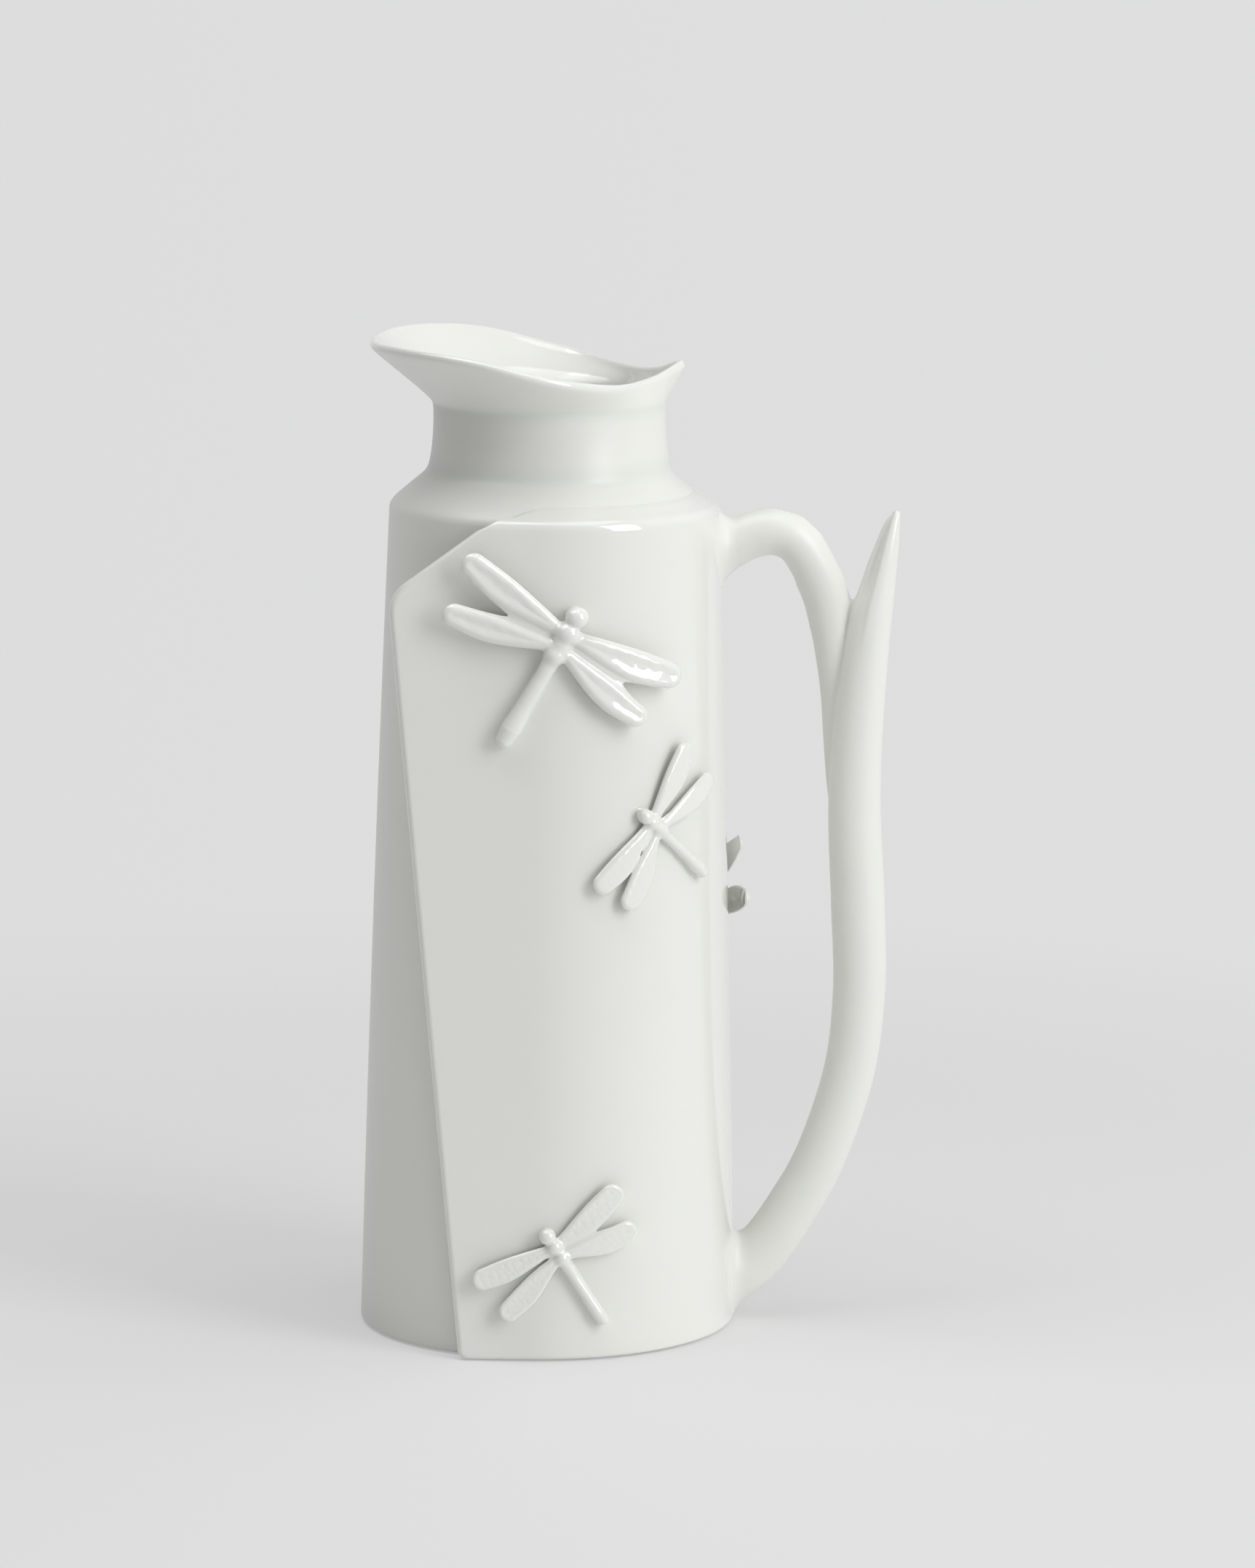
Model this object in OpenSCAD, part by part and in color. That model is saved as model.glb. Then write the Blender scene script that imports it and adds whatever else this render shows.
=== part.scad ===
// Porcelain carafe: a conical barrel in a wrapped jacket, a wavy flared lip,
// a reed handle that ends in a pointed leaf, and four dragonflies in relief.
// Millimetres. The standing plane is z = 0, the handle points to +X, the lip to -X.

/* [Barrel] */
// radius of the barrel at the standing plane
foot_radius = 52.2; // [46:0.1:60]
// radius of the barrel at the shoulder joint
top_radius = 43.9; // [40:0.1:50]
// height of the shoulder joint
body_height = 230; // [200:1:260]
// swell of the barrel at half height
body_swell = 0.5; // [0:0.1:1.2]
// thickness of the barrel wall
wall = 4.5; // [3.5:0.1:6]
// lift of the barrel's lower edge above the standing plane
edge_lift = 0.5; // [0.3:0.1:2]
// rounding of the barrel's lower edge
edge_round = 1; // [0.6:0.1:2]

/* [Floor and foot] */
// height of the foot ring
foot_height = 3; // [2:0.5:5]
// width of the foot ring
foot_width = 5.5; // [4:0.5:9]
// bevel on the foot ring's standing edges
foot_bevel = 0.6; // [0.3:0.1:1]
// thickness of the floor
floor_thick = 5; // [4:0.5:8]

/* [Shoulder and neck] */
// height of the shoulder above its joint
shoulder_rise = 11.5; // [9:0.5:15]
// width and height of the rounded turn from the barrel into the shoulder
shoulder_turn = [3.1, 4.4];
// width and height of the hollow turn from the shoulder into the neck
neck_turn = [1, 1.7];
// radius of the neck where it leaves the shoulder
neck_base_radius = 33.4; // [30:0.1:36]
// radius of the neck at its waist
neck_waist_radius = 32.1; // [29:0.1:35]
// height of the neck
neck_height = 18; // [14:0.5:24]
// thickness of the neck wall
neck_wall = 4; // [3:0.1:5]

/* [Pouring lip] */
// radius of the rim's rounded edge
rim_round = 2; // [1.4:0.1:2.4]
// reach of the rim's crest beyond the neck at the spout, its shoulders, sides, pinch and rear tip
lip_reach = [15, 16.2, 14.6, 10.8, 2.2, -1.8, -0.4, 3.8];
// rise of the rim's crest above the neck at the same places
lip_rise = [15.5, 16.1, 14.6, 9.8, 6.3, 6, 7.2, 9.8];
// angle of these places from the rear tip
lip_angle = [180, 142, 116, 90, 60, 34, 14, 0];

/* [Wrapped jacket] */
// thickness of the jacket at the standing plane
wrap_foot = 1.8; // [1.4:0.1:3]
// thickness of the jacket at the shoulder
wrap_top = 2.3; // [1.9:0.1:3.5]
// sideways shift of the jacket's axis at the standing plane
wrap_shift_foot = -1.2; // [-1.4:0.1:0]
// sideways shift of the jacket's axis at the shoulder
wrap_shift_top = 1.5; // [0:0.1:1.8]
// rounding of the jacket's upper edge
wrap_round = 3.4; // [2:0.1:4]
// lift of the jacket's lower edge above the standing plane
wrap_lift = 0.3; // [0.2:0.1:1.5]
// distance of the front edge from the axis at the standing plane
flap_foot = 23.7; // [18:0.1:30]
// distance of the front edge from the axis at its upper corner
flap_top = 43.1; // [38:0.1:44.5]
// height of the upper corner below the shoulder joint
flap_drop = 18.4; // [15:0.1:40]
// distance of the slanting edge from the axis where it meets the top
flap_slant = 12.6; // [8:0.1:25]
// rounding of the upper corner
flap_round = 6; // [2:0.5:10]
// turn of the line where the jacket leaves the round and runs straight on as a flap
flap_turn = 2.5; // [0:0.5:6]
// thickness of the free flap
flap_thick = 3.6; // [3.2:0.1:5]
// depth by which the flap's face is let into the round, which keeps the two from just touching
flap_sink = 0.12; // [0.08:0.02:0.3]

/* [Handle] */
// reach of the stalk's axis beyond the barrel's foot radius, root to leaf tip
stalk_reach = [9.4, 17.5, 25.7, 33, 35.4, 34.6, 33.1, 33.3, 34.9, 36.5, 38.2, 40, 42, 43.7];
// height of the same places
stalk_rise = [19.9, 31.9, 47.8, 71.6, 95.1, 119, 145, 165, 187, 201.6, 210.6, 218.8, 226.9, 230.8];
// half thickness of the stalk at the same places
stalk_half = [7.6, 7.3, 7.15, 7.15, 7.35, 7.55, 7.35, 7.05, 6.4, 5.75, 4.65, 3.6, 2.1, 0.4];
// centre height, half height and half width of the stalk's root on the jacket
stalk_root = [13.8, 11.4, 8.6];
// reach of the arm's axis, root to tail: beyond the jacket's face, then beyond the barrel's foot radius
arm_reach = [7.8, 7.2, 13.9, 20, 23.7, 26.1, 27.6, 28.4, 28.7, 28.7];
// height of the same places
arm_rise = [222.6, 224.2, 222, 215.1, 207.5, 198, 188, 177.6, 166, 153];
// half thickness of the arm at the same places
arm_half = [6.5, 6.4, 6.4, 6.5, 6.5, 6.3, 5.9, 5.3, 4.7, 3.5];
// centre height, half height and half width of the arm's root on the jacket
arm_root = [219.9, 9.4, 8.2];
// how fast the root flares of the stalk and of the arm close, where 1 is straight
root_flare = [0.95, 2.2];
// width of the handle across its profile, as a share of its thickness
handle_flat = 0.95; // [0.8:0.01:1.1]
// where the leaf's hollow starts and how long it takes to form, as shares of the stalk
leaf_start = [0.76, 0.14];
// depth of the hollow on the leaf's inner side, as a share of its thickness
leaf_hollow = 0.25; // [0:0.05:0.5]

/* [Dragonflies] */
// angle round the axis, height, heading clockwise from upright, and size of the upper one
upper = [-86.3, 199.6, 28, 1];
// the same for the middle one
middle = [-54.3, 148, -49.4, 0.74];
// the same for the lower one
lower = [-84.9, 30.9, -32.5, 0.74];
// the same for the rear one
rear = [38.2, 118, 200, 0.95];
// length of a forewing and of a hindwing from the body's axis
wing_length = [33, 30];
// place of a forewing's and a hindwing's root ahead of the thorax's middle
wing_root = [2.6, -1.4];
// half width of a wing
wing_half = 3.7; // [2.5:0.1:4]
// thickness of a wing
wing_thick = 2; // [1.6:0.1:2.6]
// stand-off of the wing's middle from the jacket at the root and at the tip
wing_lift = [3, 6];
// angle of a forewing and of a hindwing from the heading
wing_angle = [79.5, 102];
// length of the body behind the thorax
tail_length = 32.6; // [26:0.1:36]
// radius of the head
head_radius = 3.1; // [2.4:0.1:3.6]
// distance of the head's middle ahead of the thorax's middle
head_reach = 8; // [7:0.1:9]
// half thickness of the body
body_half = 2.4; // [2:0.1:2.8]

/* [Joints] */
// clay slip left between a luted piece and the jacket
slip = 0.02; // [0.01:0.01:0.1]

/* [Hidden] */
$fn = 96;
glaze = [0.90, 0.91, 0.88];
bisque = [0.84, 0.82, 0.77];
// height of the shoulder joint that the handle's and the dragonflies' heights are drawn for
drawn_height = 230;
tall = body_height / drawn_height;
neck_base = body_height + shoulder_rise;
neck_top = neck_base + neck_height;
lean = atan((wrap_shift_top - wrap_shift_foot) / body_height);
bands = 6;

// radius of the plain cone and of the swollen barrel at a height
function cone_r(z) = foot_radius + (top_radius - foot_radius) * z / body_height;
function swell(z) = let (q = z / body_height) 4 * body_swell * q * (1 - q);
body_line = [for (i = [0:bands]) let (z = i * body_height / bands) [z, cone_r(z) + swell(z)]];
wrap_line = [for (p = body_line)
    [p[0], p[1] + wrap_foot + (wrap_top - wrap_foot) * p[0] / body_height]];
function wrap_r(z) = lookup(z, wrap_line);
body_points = [for (p = body_line) [p[1], p[0]]];
wrap_points = [for (p = wrap_line) [p[1], p[0]]];
function mean(v) = [for (k = [0:2]) [for (p = v) p[k]] * [for (p = v) 1] / len(v)];
function unit(v) = v / norm(v);

// point on a quadratic and on a cubic curve, and along a smooth line through given places
function bez2(a, b, c, t) = a * (1 - t) ^ 2 + b * 2 * t * (1 - t) + c * t ^ 2;
function bez3(a, b, c, d, t) =
    a * (1 - t) ^ 3 + b * 3 * t * (1 - t) ^ 2 + c * 3 * t ^ 2 * (1 - t) + d * t ^ 3;
function through(a, b, c, d, t) = 0.5 * (2 * b + (c - a) * t + (2 * a - 5 * b + 4 * c - d) * t ^ 2
    + (3 * b - a - 3 * c + d) * t ^ 3);
function along(p, t) = let (n = len(p) - 1, i = min(floor(t), n - 1))
    through(p[max(i - 1, 0)], p[i], p[i + 1], p[min(i + 2, n)], t - i);

// outer line of the shoulder, from the barrel's joint to the neck
shoulder_line = let (a = [top_radius, body_height], b = [top_radius, body_height + shoulder_turn[1] / 2],
    c = [top_radius - shoulder_turn[0], body_height + shoulder_turn[1]], d = [neck_base_radius, neck_base],
    e = d + [neck_turn[0], -neck_turn[1]], f = d + [neck_turn[0] / 4, -neck_turn[1] / 2]) concat(
    [for (i = [0:5]) bez2(a, b, c, i / 5)], [e, f, d]);

// outer line of the neck, from the shoulder to the lip
neck_line = [for (i = [0:6]) let (q = i / 6) [neck_waist_radius
    + (neck_base_radius - neck_waist_radius) * (1 - q / 0.8) ^ 2, neck_base + neck_height * q]];
neck_top_radius = neck_line[6][0];

// closed skin over rings of points, each end closed by a fan, the first from a given point
module skin(rings, turned = false, start = undef) {
    n = len(rings);
    m = len(rings[0]);
    pts = concat([for (r = rings) each r], [is_undef(start) ? mean(rings[0]) : start, mean(rings[n - 1])]);
    sides = [for (i = [0:n - 2], j = [0:m - 1]) let (a = i * m + j, b = i * m + (j + 1) % m)
        each [[a, b, b + m], [a, b + m, a + m]]];
    ends = [for (j = [0:m - 1]) let (k = (j + 1) % m)
        each [[n * m, k, j], [n * m + 1, (n - 1) * m + j, (n - 1) * m + k]]];
    faces = concat(sides, ends);
    polyhedron(pts, turned ? [for (f = faces) [f[2], f[1], f[0]]] : faces, convexity = 6);
}

// places a piece in the jacket's own leaning frame
module wrap_frame() {
    translate([wrap_shift_foot, 0, 0]) rotate([0, lean, 0]) children();
}

// solid space inside the barrel's and shoulder's outer faces
module body_space() {
    rotate_extrude() polygon(concat(
        [[0, -3], [body_line[0][1] - 3 * (body_line[1][1] - body_line[0][1]) / body_line[1][0], -3]],
        [for (i = [1:bands - 1]) body_points[i]], shoulder_line, [[0, neck_base]]));
}

module barrel_wall() {
    color(glaze) rotate_extrude() polygon(concat(
        [for (i = [0:3]) let (t = i * 30) [lookup(edge_lift, body_line) - edge_round * (1 - sin(t)),
            edge_lift + edge_round * (1 - cos(t))]],
        [for (i = [1:bands]) body_points[i]],
        [[top_radius - wall, body_height], [cone_r(edge_lift) - wall, edge_lift]]));
}

module floor_disc() {
    a = foot_height;
    b = foot_height + floor_thick;
    color(glaze) rotate_extrude() polygon([[0, a], [cone_r(a) - wall, a], [cone_r(b) - wall, b], [0, b]]);
}

module foot_ring() {
    out = cone_r(foot_height) - wall;
    color(bisque) rotate_extrude() polygon([
        [out - foot_width, foot_bevel], [out - foot_width + foot_bevel, 0],
        [out - foot_bevel, 0], [out, foot_bevel], [out, foot_height], [out - foot_width, foot_height]]);
}

module shoulder() {
    color(glaze) rotate_extrude() polygon(concat(shoulder_line, [
        [neck_base_radius - neck_wall, neck_base], [neck_base_radius - neck_wall, neck_base - neck_turn[1]],
        [top_radius - wall - shoulder_turn[0] / 4, body_height + shoulder_turn[1] / 3],
        [top_radius - wall, body_height]]));
}

module neck_collar() {
    color(glaze) rotate_extrude() polygon(concat(neck_line, [
        [neck_top_radius - neck_wall, neck_top], [neck_base_radius - neck_wall, neck_base]]));
}

// crest of the rim at an angle from the rear tip, as reach and rise
lip_places = [for (i = [len(lip_angle) - 1:-1:0]) [lip_angle[i], lip_reach[i], lip_rise[i]]];
function lip_at(t) = let (p = lip_places, n = len(p) - 1,
    i = min([for (k = [0:n - 1]) if (t <= p[k + 1][0]) k]), h = p[i + 1][0] - p[i][0],
    f = (t - p[i][0]) / h,
    m0 = i == 0 ? [0, 0, 0] : (p[i + 1] - p[i - 1]) * h / (p[i + 1][0] - p[i - 1][0]),
    m1 = i == n - 1 ? [0, 0, 0] : (p[i + 2] - p[i]) * h / (p[i + 2][0] - p[i][0]))
    p[i] * (2 * f ^ 3 - 3 * f ^ 2 + 1) + m0 * (f ^ 3 - 2 * f ^ 2 + f)
    + p[i + 1] * (3 * f ^ 2 - 2 * f ^ 3) + m1 * (f ^ 3 - f ^ 2);

// section of the lip at an angle: outer flare, rounded rim, inner flare
function lip_section(t) = let (p = lip_at(t > 180 ? 360 - t : t),
    c = [neck_top_radius + p[1], neck_top + p[2]],
    d = unit([0.5 * (p[1] + neck_wall / 2), p[2]]), n = [d[1], -d[0]],
    o = [neck_top_radius, neck_top], a = [neck_top_radius - neck_wall, neck_top],
    e = c + n * rim_round, g = c - n * rim_round)
    concat([for (i = [0:6]) bez3(o, o + [0.4, 1.6], e - 0.3 * (e - o), e, i / 6)],
    [for (i = [1:4]) c + rim_round * (n * cos(i * 36) + d * sin(i * 36))],
    [for (i = [0:6]) bez3(g, g - 0.3 * (g - a), a + [0, 3.6], a, i / 6)]);

module pouring_lip() {
    turns = 60;
    rings = [for (i = [0:turns - 1]) let (t = i * 360 / turns)
        [for (q = lip_section(t)) [q[0] * cos(t), q[0] * sin(t), q[1]]]];
    m = len(rings[0]);
    faces = [for (i = [0:turns - 1], j = [0:m - 1]) let (u = ((i + 1) % turns) * m, a = i * m + j,
        b = i * m + (j + 1) % m, c = u + (j + 1) % m, d = u + j) each [[a, b, c], [a, c, d]]];
    color(glaze) polyhedron([for (r = rings) each r], faces, convexity = 6);
}

// outline of the jacket seen from the side, with a rounded upper corner
flap_corner = [-flap_top, body_height - flap_drop];
flap_edge = unit([flap_top - flap_foot, -(body_height - flap_drop)]);
flap_upper = unit([flap_top - flap_slant, flap_drop + 4]);
wrap_outline = concat([[2 * foot_radius, wrap_lift], [2 * foot_radius, body_height + 20],
    flap_corner + flap_upper * (flap_drop + 20) / flap_upper[1]],
    [for (i = [0:6]) bez2(flap_corner + flap_upper * flap_round, flap_corner,
        flap_corner + flap_edge * flap_round, i / 6)],
    [flap_corner + flap_edge * (body_height - flap_drop - wrap_lift) / -flap_edge[1]]);

// side profile of the jacket from an inner radius, let in by a depth
wrap_start = wrap_points[0] - 4 / wrap_line[1][0] * (wrap_points[1] - wrap_points[0]);
function wrap_side(n, d) = let (top = body_height - 0.6, rim = wrap_r(top) - d) concat(
    [[n, wrap_start[1]], wrap_start - [d, 0]], [for (i = [1:bands - 1]) wrap_points[i] - [d, 0]],
    [for (i = [0:5]) [rim - wrap_round * (1 - cos(i * 18)), top + wrap_round * sin(i * 18)]],
    [[n, top + wrap_round]]);

// side profile of the open space behind a flap
flap_side = let (d = [flap_thick, 0], e = wrap_points[bands] - d) concat(
    [[1, wrap_start[1] - 1], wrap_start - d - [0, 1]],
    [for (i = [1:bands - 1]) wrap_points[i] - d], [e, e + [0, 20], [1, body_height + 20]]);

// a side profile led straight on along the front flap
module flap_run(side) {
    rotate([0, 0, -90 - flap_turn]) rotate([90, 0, 0]) linear_extrude(height = 2 * foot_radius) polygon(side);
}

module wrap_panel() {
    color(glaze) difference() {
        intersection() {
            wrap_frame() union() {
                union() {
                    rotate_extrude() polygon(wrap_side(0, 0));
                    flap_run(wrap_side(top_radius / 2, flap_sink));
                }
                mirror([0, 1, 0]) flap_run(wrap_side(top_radius / 2, flap_sink));
            }
            rotate([90, 0, 0]) linear_extrude(height = 4 * foot_radius, center = true)
                polygon(wrap_outline);
        }
        body_space();
        wrap_frame() flap_run(flap_side);
        mirror([0, 1, 0]) wrap_frame() flap_run(flap_side);
    }
}

// ring on the jacket's face round a handle root, shrunk by a share
function root_ring(root, share, m) = [for (j = [0:m - 1]) let (t = j * 360 / m,
    z = root[0] * tall + share * root[1] * cos(t), y = share * root[2] * sin(t))
    [sqrt(wrap_r(z) ^ 2 - y ^ 2) + slip, y, z]];

// rings along a handle line of places with reach, height and half thickness
function handle_rings(p, steps, m, hollow) = [for (i = [0:steps]) let (n = len(p) - 1,
    t = i * n / steps, c = along(p, t), e = along(p, min(t + 0.05, n)) - along(p, max(t - 0.05, 0)),
    d = unit([e[0], e[1]]), w = [-d[1], d[0]],
    h = hollow * max(0, min(1, (t / n - leaf_start[0]) / leaf_start[1])))
    [for (j = [0:m - 1]) let (q = j * 360 / m, s = cos(q) > 0 ? 1 - h * cos(q) ^ 2 : 1)
        [c[0] + w[0] * c[2] * cos(q) * s, c[2] * handle_flat * sin(q), c[1] + w[1] * c[2] * cos(q) * s]]];

// root patch on the jacket, a flare that closes fast at first, then the rings of the line
function rooted(root, rings, power) = let (m = len(rings[0]), a = root_ring(root, 1, m), b = rings[0])
    concat([for (s = [0.02, 0.45, 0.8]) root_ring(root, s, m)], [a],
    [for (p = [0.2, 0.45, 0.72]) let (e = 1 - (1 - p) ^ power) [for (j = [0:m - 1])
        [a[j][0] + (b[j][0] - a[j][0]) * p, a[j][1] + (b[j][1] - a[j][1]) * e,
         a[j][2] + (b[j][2] - a[j][2]) * e]]], rings);

stalk_line = [for (i = [0:len(stalk_reach) - 1])
    [foot_radius + stalk_reach[i], stalk_rise[i] * tall, stalk_half[i]]];
arm_line = [for (i = [0:len(arm_reach) - 1])
    [(i == 0 ? wrap_r(arm_rise[0] * tall) : foot_radius) + arm_reach[i], arm_rise[i] * tall, arm_half[i]]];

module stalk_solid() {
    m = 20;
    skin(rooted(stalk_root, handle_rings(stalk_line, 30, m, leaf_hollow), root_flare[0]), true);
}

module handle_stalk() {
    color(glaze) wrap_frame() stalk_solid();
}

// inner face of the stalk at a sideways place and height
stalk_table = [for (i = [0:60]) let (n = len(stalk_line) - 1, t = i * n / 60, c = along(stalk_line, t),
    e = along(stalk_line, min(t + 0.05, n)) - along(stalk_line, max(t - 0.05, 0)))
    [c[1], c[0], c[2] * norm([e[0], e[1]]) / max(e[1], 0.01), c[2] * handle_flat]];
stalk_x = [for (p = stalk_table) [p[0], p[1]]];
stalk_a = [for (p = stalk_table) [p[0], p[2]]];
stalk_b = [for (p = stalk_table) [p[0], p[3]]];
function stalk_face(y, z) = lookup(z, stalk_x)
    - lookup(z, stalk_a) * sqrt(max(0, 1 - (y / lookup(z, stalk_b)) ^ 2));

module handle_arm() {
    m = 18;
    rings = handle_rings(arm_line, 26, m, 0);
    laid = [for (r = rings) [for (j = [0:m - 1]) let (p = r[j], c = cos(j * 360 / m))
        [min(p[0], stalk_face(p[1], p[2]) - slip - 0.4 * max(0, -c)), p[1], p[2]]]];
    color(glaze) wrap_frame() skin(rooted(arm_root, laid, root_flare[1]), true);
}

// point over the jacket, round it and straight on over the front flap:
// place of the dragonfly, forward, sideways, and stand-off
function over(d, u, v, h) = let (s = u * sin(d[2]) + v * cos(d[2]), t = u * cos(d[2]) - v * sin(d[2]),
    z = d[1] * tall + t, r = wrap_r(z) + h, q = wrap_r(d[1] * tall), a = d[0] + s / q * 180 / PI,
    b = max(a, -90 - flap_turn), e = (b - a) * PI / 180 * q, f = r - min(flap_sink, e ^ 2 / (2 * q)))
    [f * cos(b) + e * sin(b), f * sin(b) - e * cos(b), z];

// body line from tail to head: place forward, radius, and lift of the axis
function body_places(k) = let (h = head_radius * k, l = tail_length * k, c = head_reach * k,
    b = body_half * k) [
    [-l, 0.12 * b, 1.42 * b], [-l + 0.25 * b, 0.62 * b, 1.38 * b], [-l + b, b, 1.33 * b],
    [-0.84 * l, b, 1.25 * b], [-0.6 * l, 0.85 * b, 1.04 * b], [-0.3 * l, 0.88 * b, 0.92 * b],
    [-0.82 * c, 0.98 * b, 0.92 * b], [-0.58 * c, 0.96 * b, 0.96 * b], [-0.3 * c, 1.15 * b, 1.08 * b],
    [-0.02 * c, 1.04 * b, 1.12 * b], [0.3 * c, 1.23 * b, 1.21 * b], [0.58 * c, 0.92 * b, 1.21 * b],
    [c - 0.75 * h, 0.7 * h, 1.33 * b], [c, h, 1.42 * b], [c + 0.7 * h, 0.72 * h, 1.42 * b],
    [c + h, 0.1 * h, 1.42 * b]];

function body_table(k) = let (p = body_places(k), n = len(p) - 1)
    [for (i = [0:2 * n]) let (c = along(p, i / 2)) [c[0], max(c[1], 0.1), c[2]]];

// half width of a body at a place along it and a height over the jacket
function body_side(k, u, h) = let (p = body_table(k), r = lookup(u, [for (c = p) [c[0], c[1]]]),
    z = lookup(u, [for (c = p) [c[0], c[2]]])) sqrt(max(0.01, r ^ 2 - (h - z) ^ 2));

module body_solid(d) {
    m = 14;
    skin([for (c = body_table(d[3])) [for (j = [0:m - 1]) let (q = j * 360 / m)
        over(d, c[0], c[1] * cos(q), max(slip, c[2] + c[1] * sin(q)))]], true);
}

// wing, side +1 right or -1 left, kind 0 fore or 1 hind: its root lies on the body,
// and the line between the two wings of a side keeps them apart
module wing(d, side, kind) {
    k = d[3];
    l = wing_length[kind] * k;
    a = wing_angle[kind];
    root = wing_root[kind] * k;
    first = 1.83 * body_half * k;
    m = 12;
    steps = 9;
    rows = [for (i = [0:steps]) let (q = i / steps, s = first + (l - first) * (1 - (1 - q) ^ 1.35),
        f = s / l, w = wing_half * k * (0.55 + 0.45 * min(1, f / 0.62)) * sqrt(max(0.004, 1 - f ^ 7)),
        h = (wing_lift[0] + (wing_lift[1] - wing_lift[0]) * f ^ 1.3) * k,
        e = wing_thick * k / 2 * (i == steps ? 0.35 : 1))
        [for (j = [0:m - 1]) let (t = j * 360 / m, y = w * cos(t),
            u = root + s * cos(a) + y * sin(a), v = s * sin(a) - y * cos(a),
            mid = 0.25 * body_half * k - 0.026 * v,
            g = kind == 0 ? max(u, mid + slip / 2) : min(u, mid - slip / 2))
            [g, v, h + e * sin(t) * (sin(t) > 0 ? 1 - 0.4 * sin(t) ^ 2 : 1)]]];
    sink = 0.08 * body_half * k;
    seat = [for (p = rows[0]) [p[0], body_side(k, p[0], p[2] - sink) + slip, p[2] - sink]];
    c = mean(seat);
    rings = [for (r = concat([seat], rows)) [for (p = r) over(d, p[0], side * p[1], p[2])]];
    start = over(d, c[0], side * (body_side(k, c[0], c[2]) + slip), c[2]);
    color(glaze) wrap_frame() skin(rings, side > 0, start);
}

module upper_body() { color(glaze) wrap_frame() body_solid(upper); }
module upper_left_forewing() { wing(upper, -1, 0); }
module upper_right_forewing() { wing(upper, 1, 0); }
module upper_left_hindwing() { wing(upper, -1, 1); }
module upper_right_hindwing() { wing(upper, 1, 1); }
module middle_body() { color(glaze) wrap_frame() body_solid(middle); }
module middle_left_forewing() { wing(middle, -1, 0); }
module middle_right_forewing() { wing(middle, 1, 0); }
module middle_left_hindwing() { wing(middle, -1, 1); }
module middle_right_hindwing() { wing(middle, 1, 1); }
module lower_body() { color(glaze) wrap_frame() body_solid(lower); }
module lower_left_forewing() { wing(lower, -1, 0); }
module lower_right_forewing() { wing(lower, 1, 0); }
module lower_left_hindwing() { wing(lower, -1, 1); }
module lower_right_hindwing() { wing(lower, 1, 1); }
module rear_body() { color(glaze) wrap_frame() body_solid(rear); }
module rear_left_forewing() { wing(rear, -1, 0); }
module rear_right_forewing() { wing(rear, 1, 0); }
module rear_left_hindwing() { wing(rear, -1, 1); }
module rear_right_hindwing() { wing(rear, 1, 1); }

barrel_wall();
floor_disc();
foot_ring();
shoulder();
neck_collar();
pouring_lip();
wrap_panel();
handle_stalk();
handle_arm();
upper_body();
upper_left_forewing();
upper_right_forewing();
upper_left_hindwing();
upper_right_hindwing();
middle_body();
middle_left_forewing();
middle_right_forewing();
middle_left_hindwing();
middle_right_hindwing();
lower_body();
lower_left_forewing();
lower_right_forewing();
lower_left_hindwing();
lower_right_hindwing();
rear_body();
rear_left_forewing();
rear_right_forewing();
rear_left_hindwing();
rear_right_hindwing();
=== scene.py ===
import bpy
import math
import numpy as np
from mathutils import Matrix


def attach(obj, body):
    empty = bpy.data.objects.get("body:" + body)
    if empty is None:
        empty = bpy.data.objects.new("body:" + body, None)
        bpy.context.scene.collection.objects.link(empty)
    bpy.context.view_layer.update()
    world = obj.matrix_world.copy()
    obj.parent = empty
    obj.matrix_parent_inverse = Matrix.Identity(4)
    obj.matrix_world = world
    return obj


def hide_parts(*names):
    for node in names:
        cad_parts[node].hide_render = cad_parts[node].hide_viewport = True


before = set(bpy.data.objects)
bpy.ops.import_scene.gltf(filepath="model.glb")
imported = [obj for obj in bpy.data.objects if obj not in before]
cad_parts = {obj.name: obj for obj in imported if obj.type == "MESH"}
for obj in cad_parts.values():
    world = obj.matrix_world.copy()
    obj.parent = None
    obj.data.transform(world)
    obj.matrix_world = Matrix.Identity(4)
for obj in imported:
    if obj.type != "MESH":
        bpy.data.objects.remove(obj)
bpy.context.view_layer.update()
print("frame loaded")

mm = 0.001  # pieces are worked out in millimetres, Blender's unit is the metre
weldGap = 2e-4  # points that fall within this become one


# Cubic ease from 0 at a to 1 at b
def ease(x, a, b):
    t = np.clip((x - a) / (b - a), 0, 1)
    return t * t * (3 - 2 * t)


# Smooth minimum: the smaller value, let down by up to a quarter of k where the two are within k
def softMin(a, b, k):
    near = np.maximum(k - np.abs(a - b), 0) / k
    return np.minimum(a, b) - near * near * k / 4


# Distance from a body behind two faces, from the distances to each; its corner is rounded by a radius
def roundCorner(a, b, radius):
    a, b = a + radius, b + radius
    return np.hypot(np.maximum(a, 0), np.maximum(b, 0)) + np.minimum(np.maximum(a, b), 0) - radius


# Quadratic curve from a to c, drawn towards b, at an array of shares t
def quadratic(a, b, c, t):
    t = t[:, None]
    return a * (1 - t) ** 2 + b * 2 * t * (1 - t) + c * t ** 2


# Cubic curve from a to d, drawn towards b and c; where these are rows of points, one curve for each row
def cubic(a, b, c, d, t):
    t = t.reshape((-1,) + (1,) * np.ndim(a))
    return a * (1 - t) ** 3 + b * 3 * t * (1 - t) ** 2 + c * 3 * t ** 2 * (1 - t) + d * t ** 3


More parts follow.
